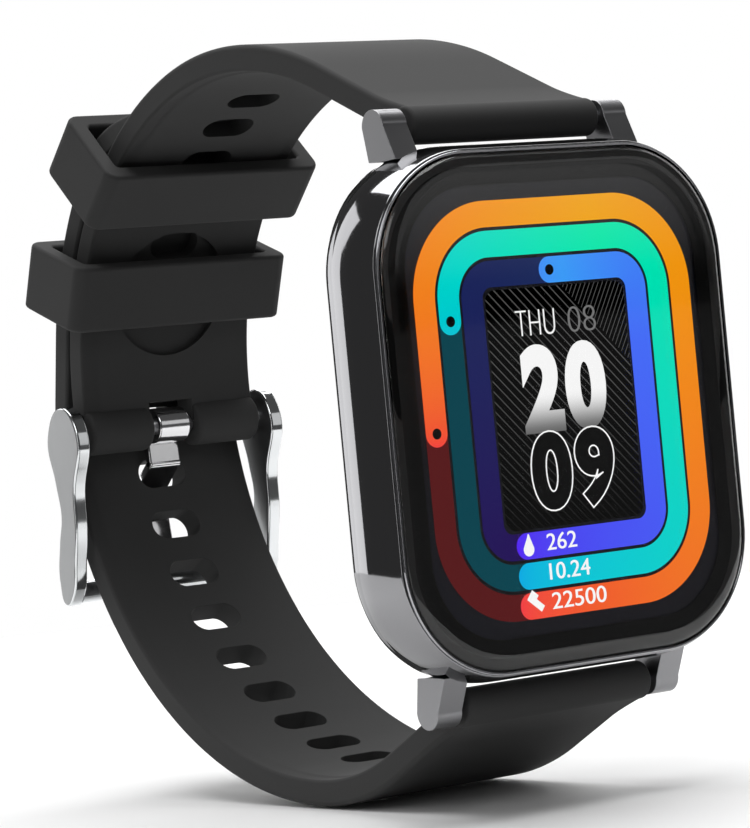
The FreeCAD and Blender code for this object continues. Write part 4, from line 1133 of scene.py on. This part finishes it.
# ------------------------------------------------------------------ strap
class StrapLine:
    """The strap's centre line in Y and Z, made of lines and arcs that meet without a corner."""

    def __init__(self, point: Place, heading: float, side: int) -> None:
        """Starts a line.

        Args:
            point: Where it starts.
            heading: The way that it leaves, from +Y towards +Z.
            side: 1 for a line over the top of the wrist and -1 for one under it.
        """
        self.point, self.heading, self.side = point, heading, side
        self.runs: list[tuple[Place, float, float, float | None]] = []

    def aside(self, start: Place, heading: float, distance: float) -> Place:
        """A point away from the wrist by a distance."""
        shift = self.side * distance
        return start[0] - shift * math.sin(heading), start[1] + shift * math.cos(heading)

    def line(self, length: float) -> None:
        """Goes straight on."""
        self.runs.append((self.point, self.heading, length, None))
        self.point = (self.point[0] + length * math.cos(self.heading),
                      self.point[1] + length * math.sin(self.heading))

    def arc(self, radius: float, turn: float) -> None:
        """Turns round the wrist."""
        self.runs.append((self.point, self.heading, abs(radius * turn), radius))
        centre = self.aside(self.point, self.heading, -radius)
        self.heading -= self.side * turn
        self.point = self.aside(centre, self.heading, radius)

    @property
    def length(self) -> float:
        """The whole length."""
        return sum(run[2] for run in self.runs)

    def at(self, distance: float) -> tuple[Place, float]:
        """The place and heading at a distance."""
        for start, heading, length, radius in self.runs:
            if distance <= length or (start, heading, length, radius) == self.runs[-1]:
                break
            distance -= length
        if radius is None:
            return (start[0] + distance * math.cos(heading), start[1] + distance * math.sin(heading)), heading
        centre = self.aside(start, heading, -radius)
        turned = heading - self.side * distance / radius
        return self.aside(centre, turned, radius), turned


@dataclass
class Strap:
    """Both halves of the silicone strap, the two keepers, and the sizes that they share."""

    bar: Place
    pin: Place
    arc_centre: Place
    arc_radius: float = field(init=False)
    thickness: float = 2.2
    half_lug: float = 9.4
    half_buckle: float = 9.0
    hub: float = 1.55
    roll: float = 2.05
    notch: float = 4.8
    rise: float = 1.4
    slot_length: float = 5.2
    slot_width: float = 2.7
    slot_pitch: float = 5.08
    buckle_pitch: float = 4.8
    buckle_slots: int = 6
    buckle_slot_start: float = 12.2
    tang_slot_drop: float = 4.6
    slots_below: int = 8
    slots_above: int = 6
    ramp: float = 8.0
    tail_end: float = 55.0
    recess_radius: float = 6.0
    recess_depth: float = 0.35
    recess_angle: float = 20.0
    step: float = 0.7
    border: float = 1.3
    lower_reach: float = 48.8       # depth where the lower strap's long arc ends
    lower_depth: float = 14.4       # depth of its lowest place
    keeper_play: float = 0.45
    keeper_clear: float = 0.16      # more play on the wrist's side
    keeper_wall: float = 1.6
    keeper_side: float = 0.65       # play beside the straps
    keeper_half: float = 2.95

    def __post_init__(self) -> None:
        """Works out both lines from the frame."""
        half = self.thickness / 2
        self.buckle_top = box_mm("buckle_strap")[1].z - half
        self.holed_top = -box_mm("holed_strap")[0].z - half
        self.buckle_line, self.arc_radius = self.over(1, self.buckle_top, self.arc_centre[0], self.pin)
        self.tail_radius = self.arc_radius + self.thickness + 0.15
        self.holed_line, _ = self.over(-1, self.holed_top, self.lower_depth, (self.lower_reach, self.pin[1]))
        self.tang_slot = self.holed_line.length - self.tang_slot_drop
        self.add_tail(self.holed_line)

    def over(self, side: int, top: float, top_depth: float, target: Place) -> tuple[StrapLine, float]:
        """A line from a spring bar over its highest place and round to a target.

        Args:
            side: 1 for the upper strap and -1 for the lower.
            top: Height of its highest place.
            top_depth: Depth of its highest place.
            target: Where it ends.

        Returns:
            The line and the radius of its last arc.
        """
        climb, run = top - self.bar[1], top_depth - self.bar[0]
        slope = math.atan(self.rise * climb / run)
        bend = (self.rise - 1) * climb / (1 / math.cos(slope) - 1)
        line = StrapLine((self.bar[0], side * self.bar[1]), side * slope, side)
        line.line((run - bend * math.sin(slope)) / math.cos(slope))
        line.arc(bend, slope)
        drop, reach = top - side * target[1], target[0] - top_depth
        radius = (reach ** 2 + drop ** 2) / (2 * drop)
        line.arc(radius, math.atan2(reach, radius - drop) % (2 * math.pi))
        return line, radius

    def add_tail(self, line: StrapLine) -> None:
        """Leads the lower strap outside the upper one."""
        centre = line.aside(line.point, line.heading, -self.ramp)
        depth, height = self.arc_centre[0] - centre[0], self.arc_centre[1] - centre[1]
        apart = math.hypot(depth, height)
        lean = math.asin((self.tail_radius - self.ramp) / apart)
        heading = math.atan2(height, depth) - lean
        turn = heading - line.heading
        while turn > math.pi:
            turn -= 2 * math.pi
        line.arc(self.ramp, turn)
        line.line(apart * math.cos(lean))
        line.arc(self.tail_radius, math.radians(90 + self.tail_end) - heading)

    def strip(self, length: float, tip: float) -> Piece:
        """The flat strap: width on X, its run on Y, and Z away from the wrist.

        Args:
            length: How long it is.
            tip: Radius of its far corners.

        Returns:
            The strip.
        """
        wide, half = self.half_lug, self.thickness / 2
        piece = block((-wide, 0, -half), (wide, length, half))
        with editing(piece, "EDGE"):
            if tip:
                bevel_edges(piece, lambda a, b: abs(a.z - b.z) > half and min(a.y, b.y) > length - 1e-3, tip, 14)
            bevel_edges(piece, lambda a, b: abs(a.z - b.z) < 1e-4 and a.z > 0, 0.45, 4)
            bevel_edges(piece, lambda a, b: abs(a.z - b.z) < 1e-4 and a.z < 0, 0.3, 3)
        with editing(piece, "FACE"):
            select(piece, Grip.FACE, lambda centre, normal: normal.z < -0.99)
            bpy.ops.mesh.inset(thickness=self.border - 0.3, depth=0)
            bpy.ops.mesh.inset(thickness=0.25, depth=0.14)
        return piece

    def pocket(self, piece: Piece, along: float, low: float, high: float) -> None:
        """Cuts a round-ended slot across the strip.

        Args:
            piece: The strip.
            along: The slot's place.
            low: Lowest Z of the cut.
            high: Highest Z of the cut.
        """
        radius = self.slot_width / 2
        tool = rod(Axis.Z, (0, along, (low + high) / 2), radius, high - low, 40)
        with editing(tool):
            for side in (-1, 1):
                select(tool, Grip.POINT, lambda point: side * point.x > 1e-4)
                bpy.ops.transform.translate(value=(side * (self.slot_length / 2 - radius), 0, 0))
        combine(piece, tool)

    def lay(self, piece: Piece, line: StrapLine, length: float) -> Piece:
        """Slices a flat strip and lays it along a line.

        Args:
            piece: The strip.
            line: The line that it follows.
            length: The strip's length.

        Returns:
            The bent strip.
        """
        with editing(piece):
            for number in range(1, int(length / self.step)):
                bpy.ops.mesh.select_all(action="SELECT")
                bpy.ops.mesh.bisect(plane_co=(0, number * self.step, 0), plane_no=(0, 1, 0))
            bpy.ops.mesh.select_all(action="SELECT")
            bpy.ops.mesh.remove_doubles(threshold=1e-4)
        for point in piece.data.vertices:
            (depth, height), heading = line.at(point.co.y)
            share = (depth - self.bar[0]) / (self.pin[0] - self.bar[0])
            width = 1 + (self.half_buckle / self.half_lug - 1) * min(max(share, 0), 1)
            swell = 1 + (self.hub * 2 / self.thickness - 1) * max(1 - point.co.y / 4.5, 0) ** 1.5
            place = line.aside((depth, height), heading, point.co.z * swell)
            point.co = (point.co.x * width, *place)
        with editing(piece, "FACE", True):
            bpy.ops.mesh.normals_make_consistent(inside=False)
        return piece

    def hub_piece(self, side: int) -> Piece:
        """The strap's round end about a spring bar."""
        centre = (0, self.bar[0], side * self.bar[1])
        return soften(rod(Axis.X, centre, self.hub, 2 * self.half_lug, 48), 0.3, 3)

    def buckle_half(self) -> None:
        """The upper strap, with blind slots, a round recess and a rolled end with a notch."""
        line, half = self.buckle_line, self.thickness / 2
        length = line.length
        piece = self.strip(length, 0)
        first = length - self.buckle_slot_start
        for number in range(self.buckle_slots):
            self.pocket(piece, first - self.buckle_pitch * number, -half - 1, -half + 1.5)
        rolled = math.asin((self.arc_centre[1] - self.pin[1]) / self.arc_radius)
        recess = length - (rolled + math.radians(self.recess_angle)) * self.arc_radius
        combine(piece, rod(Axis.Z, (0, recess, -half), self.recess_radius, 2 * self.recess_depth, 72))
        combine(piece, block((-self.notch / 2, length - self.roll - 0.1, -2), (self.notch / 2, length + 1, 2)))
        soften(piece, 0.22, 3, 60.0)
        self.lay(piece, line, length)
        rolls = []
        for side in (-1, 1):
            low, high = self.notch / 2, self.half_buckle
            centre = (side * (low + high) / 2, *self.pin)
            rolls.append(soften(rod(Axis.X, centre, self.roll, high - low, 56), 0.4, 4))
        piece = join(piece, self.hub_piece(1), *rolls)
        deliver(piece, "upper_strap_half", "case", [SILICONE], ["buckle_strap"])

    def holed_half(self) -> None:
        """The lower strap, with a row of slots and a tail outside the upper strap."""
        line, half = self.holed_line, self.thickness / 2
        piece = self.strip(line.length, 5.0)
        for number in range(-self.slots_below, self.slots_above + 1):
            self.pocket(piece, self.tang_slot + self.slot_pitch * number, -half - 1, half + 1)
        soften(piece, 0.22, 3, 60.0)
        self.lay(piece, line, line.length)
        piece = join(piece, self.hub_piece(-1))
        deliver(piece, "lower_strap_half", "case", [SILICONE], ["holed_strap"])

    def keeper(self, node: str, body: str, degrees: float) -> None:
        """A boxy rubber loop around both straps.

        Args:
            node: The node that it stands for.
            body: The body that it moves with.
            degrees: Its place round the arc's centre.
        """
        play, wall, half = self.keeper_play, self.keeper_wall, self.thickness / 2
        low, high = self.arc_radius - half - play - self.keeper_clear, self.tail_radius + half + play
        half_x, half_z = self.half_buckle + self.keeper_side, self.keeper_half
        piece = block((-half_x - wall, low - wall, -half_z), (half_x + wall, high + wall, half_z))
        with editing(piece, "EDGE"):
            bevel_edges(piece, lambda a, b: abs(a.z - b.z) > half_z, 1.2, 6)
        hole = block((-half_x, low, -2 * half_z), (half_x, high, 2 * half_z))
        with editing(hole, "EDGE"):
            bevel_edges(hole, lambda a, b: abs(a.z - b.z) > half_z, 0.35, 3)
        combine(piece, hole)
        soften(piece, 0.42, 4, 60.0)
        piece.rotation_euler = (math.radians(degrees), 0, 0)
        piece.location = (0, *self.arc_centre)
        settle(piece)
        deliver(piece, f"{node}_loop", body, [KEEPER], [node])

    def build(self) -> None:
        """Builds the whole strap."""
        self.buckle_half()
        self.holed_half()
        self.keeper("lower_keeper", "lower_loop", 21.0)
        self.keeper("upper_keeper", "upper_loop", 44.3)


@dataclass
class Buckle:
    """The pin buckle: two waisted arms, a far bar, a pin and a tang."""

    strap: Strap
    head: float = 2.45
    bar_radius: float = 1.0
    tang_width: float = 3.3
    tang_thick: float = 0.8
    far_bar: Place = (47.043, -13.115)
    outer_waist: tuple[Place, ...] = ((47.35, -3.4), (46.95, -6.3), (47.6, -8.6))
    inner_waist: tuple[Place, ...] = ((45.2, -10.4), (44.6, -7.4), (44.4, -4.2))
    arm_inside: float = 9.8
    arm_half: float = 0.65          # half an arm's thickness
    arm_round: float = 0.22
    foot: tuple[Place, ...] = ((1.1, 0.9), (0.3, -1.1), (-0.95, -0.3))      # round the far bar
    flat_face: float = 0.93         # how squarely a face looks sideways to be brushed and painted darker as shade
    tang_hub: float = 1.6
    tang_start: float = 1.2
    tang_in: Place = (-1.75, 0.75)  # out of the slot and up along it, where the tang goes in
    tang_out: Place = (1.75, -1.05)
    tang_past: float = 1.2          # how far it reaches past the far bar
    tang_gap: float = 0.02
    tang_round: float = 0.2

    def arm(self, side: int) -> Piece:
        """One arm, cut from a plate along a smooth outline.

        Args:
            side: 1 or -1 for the right or left arm.

        Returns:
            The arm.
        """
        pin, far = self.strap.pin, self.far_bar
        outline = [(pin[0] - 0.1, pin[1] + self.head), (pin[0] + self.head, pin[1]), *self.outer_waist,
                   *[(far[0] + depth, far[1] + height) for depth, height in self.foot], *self.inner_waist,
                   (pin[0] - self.head, pin[1] - 0.1)]
        put_down()
        bpy.ops.curve.primitive_bezier_circle_add(radius=1)
        piece = bpy.context.object
        bpy.ops.object.mode_set(mode="EDIT")
        bpy.ops.curve.select_all(action="SELECT")
        bpy.ops.curve.delete(type="VERT")
        for depth, height in outline:
            bpy.ops.curve.vertex_add(location=(depth, height, 0))
        bpy.ops.curve.select_all(action="SELECT")
        bpy.ops.curve.cyclic_toggle()
        bpy.ops.curve.handle_type_set(type="AUTOMATIC")
        bpy.ops.object.mode_set(mode="OBJECT")
        for name, value in (("dimensions", "2D"), ("fill_mode", "BOTH"), ("resolution_u", 10),
                            ("offset", -self.arm_round), ("bevel_depth", self.arm_round), ("bevel_resolution", 3),
                            ("extrude", self.arm_half - self.arm_round)):
            setattr(piece.data, name, value)
        bpy.ops.object.convert(target="MESH")
        piece = bpy.context.object
        piece.rotation_euler = (math.pi / 2, 0, math.pi / 2)
        piece.location = (side * (self.arm_inside + self.arm_half), 0, 0)
        settle(piece)
        return clean(piece)

    def frame_piece(self) -> None:
        """The arms and the far bar."""
        bar = rod(Axis.X, (0, *self.far_bar), self.bar_radius, 19.8, 40)
        piece = join(self.arm(1), self.arm(-1), bar)
        # Faces that look sideways wear the darker steel: painted shade on a brushed finish.
        deliver(piece, "buckle_shell", "buckle", [BUCKLE_POLISH, BUCKLE_SATIN_PAINTED_SHADE], ["buckle_frame"],
                second=lambda face: abs(face.normal.x) > self.flat_face)

    def tang(self) -> None:
        """The tang: a ring about the pin and a bent bar that lies on the far bar."""
        pin, half = self.strap.pin, self.tang_width / 2
        place, heading = self.strap.holed_line.at(self.strap.tang_slot)
        out = (math.sin(heading), -math.cos(heading))
        along = (math.cos(heading), math.sin(heading))

        def through(depth: float, climb: float) -> Place:
            """A place beside the slot's centre."""
            return (place[0] + depth * out[0] + climb * along[0], place[1] + depth * out[1] + climb * along[1])

        lean = math.atan2(self.far_bar[1] - pin[1], self.far_bar[0] - pin[0])
        rest = self.bar_radius + self.tang_thick / 2 + self.tang_gap
        over = (self.far_bar[0] - rest * math.sin(lean), self.far_bar[1] + rest * math.cos(lean))
        tip = (over[0] + self.tang_past * math.cos(lean), over[1] + self.tang_past * math.sin(lean))
        spine = [(pin[0] + self.tang_start, pin[1]), through(*self.tang_in), through(*self.tang_out), over, tip]
        pieces = [soften(rod(Axis.X, (0, *pin), self.tang_hub, self.tang_width, 48), self.tang_round, 3)]
        for start, end in zip(spine, spine[1:]):
            length = math.dist(start, end)
            bar = block((-half, -self.tang_thick / 2, -self.tang_thick / 2),
                        (half, length + self.tang_thick / 2, self.tang_thick / 2))
            soften(bar, self.tang_round, 3)
            bar.rotation_euler = (math.atan2(end[1] - start[1], end[0] - start[0]), 0, 0)
            bar.location = (0, *start)
            pieces.append(settle(bar))
        deliver(join(*pieces), "tang_shell", "tang", [TANG], ["buckle_tang"])

    def pin_piece(self) -> None:
        """The buckle's pin."""
        low, high = box_mm("buckle_pin")
        piece = rod(Axis.X, (0, *self.strap.pin), (high.z - low.z) / 2, high.x - low.x, 40)
        deliver(soften(piece, 0.1, 2), "pin_rod", "buckle", [STEEL], ["buckle_pin"])

    def build(self) -> None:
        """Builds the whole buckle."""
        self.frame_piece()
        self.tang()
        self.pin_piece()


# ------------------------------------------------------------------ studio
@dataclass
class Studio:
    """A pale floor, soft lights, and the camera at the viewing angle."""

    camera: Vector = field(default_factory=lambda: Vector((-193.0, -243.4, 4.2)))
    lens: float = 167.8
    right: Vector = field(default_factory=lambda: Vector((0.7960, -0.5979, -0.0939)))
    up: Vector = field(default_factory=lambda: Vector((0.0822, -0.0470, 0.9955)))
    floor: float = -31.4
    room: float = 0.07
    disc: float = 0.17              # the floor's radius and centre, and the card, in metres
    disc_place: Place = (0.045, 0.105)
    card_place: tuple[float, float, float] = (0.9, -1.2, 0.32)
    card_size: Place = (1.0, 0.6)
    aim: tuple[float, float, float] = (0, 0.02, 0)
    lamps: tuple[tuple[str, tuple[float, float, float], Place, float], ...] = (
        ("top_soft", (0.05, 0.12, 0.75), (0.8, 0.8), 8.5), ("left_rear", (-0.32, 0.79, 0.12), (0.4, 1.0), 2.2),
        ("left_front", (-0.66, -0.22, 0.1), (0.09, 0.9), 0.55), ("right_soft", (0.7, 0.04, 0.12), (0.25, 0.8), 0.8),
        ("rear_right", (0.55, 0.62, 0.3), (0.4, 0.6), 1.8), ("camera_soft", (-0.5, -0.6, 0.5), (0.35, 0.35), 1.1))

    def sweep(self) -> None:
        """The floor, a pale disc."""
        put_down()
        bpy.ops.mesh.primitive_circle_add(vertices=96, radius=self.disc, fill_type="NGON",
                                          location=(*self.disc_place, self.floor * MM))
        piece = settle(bpy.context.object)
        piece.name = "floor"
        piece.data.materials.append(Solid("floor_paper", (0.86, 0.86, 0.86), 0.0, 0.6, 0.7, 400.0, 0.02,
                                          shift=0.01).material())

    def light(self, name: str, place: Sequence[float], size: Place, power: float) -> None:
        """Adds a soft lamp.

        Args:
            name: Its name.
            place: Where it hangs, in metres.
            size: Its width and height, in metres.
            power: Its power in watts.
        """
        put_down()
        bpy.ops.object.light_add(type="AREA", location=place)
        lamp = bpy.context.object
        lamp.name = name
        lamp.data.shape = "RECTANGLE"
        lamp.data.size, lamp.data.size_y = size
        lamp.data.energy = power
        lamp.rotation_euler = (Vector(self.aim) - Vector(place)).to_track_quat("-Z", "Y").to_euler()

    def card(self) -> None:
        """A glowing card that only the upper part of the glass reflects, dark at its foot."""
        put_down()
        place = Vector(self.card_place)
        bpy.ops.mesh.primitive_plane_add(size=1, location=place)
        piece = bpy.context.object
        piece.scale = (*self.card_size, 1)
        piece.rotation_euler = (math.pi / 2, 0, math.atan2(place.x, -place.y))
        settle(piece)
        piece.name = "reflector_card"
        piece.data.materials.append(Glowing("card_glow", 0.04, 0.11, 0.6).material())

    def surround(self) -> None:
        """A dim grey room that the camera sees as pale, so that gloss stays dark."""
        world = bpy.data.worlds.new("studio")
        world.use_nodes = True
        tree = world.node_tree
        dim = tree.nodes["Background"]
        set_inputs(dim, {"Color": (1, 1, 1, 1), "Strength": self.room})
        pale = add_node(tree, "Background", {"Color": (1, 1, 1, 1), "Strength": 1.0})
        seen = add_node(tree, "LightPath")
        mix = add_node(tree, "MixShader")
        wire(tree, (seen.outputs["Is Camera Ray"], mix.inputs[0]), (dim.outputs[0], mix.inputs[1]),
             (pale.outputs[0], mix.inputs[2]), (mix.outputs[0], tree.nodes["World Output"].inputs["Surface"]))
        bpy.context.scene.world = world

    def build(self) -> None:
        """Sets the stage, the lights and the camera."""
        self.sweep()
        self.surround()
        for lamp in self.lamps:
            self.light(*lamp)
        self.card()
        bpy.ops.object.camera_add(location=self.camera * MM)
        camera = bpy.context.object
        back = self.right.cross(self.up).normalized()
        turn = Matrix((self.right, self.up, back)).transposed()
        camera.rotation_euler = turn.to_euler()
        camera.data.lens = self.lens
        camera.data.clip_start = 0.01
        camera.data.clip_end = 20.0
        bpy.context.scene.camera = camera
        bpy.context.scene.view_settings.view_transform = "Standard"


def save_size() -> None:
    """Brings the scene's placements up to date."""
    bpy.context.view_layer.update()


def main() -> None:
    """Builds the watch around its frame, then the studio."""
    logging.basicConfig(level=logging.INFO, format="%(message)s")
    put_down()
    case = Case()
    case.build()
    Display().build()
    strap = Strap((case.bar.y, case.bar.z), (45.5, 0.9), (18.8, 3.9288))
    strap.build()
    Buckle(strap).build()
    Studio().build()
    save_size()


if __name__ == "__main__":
    main()
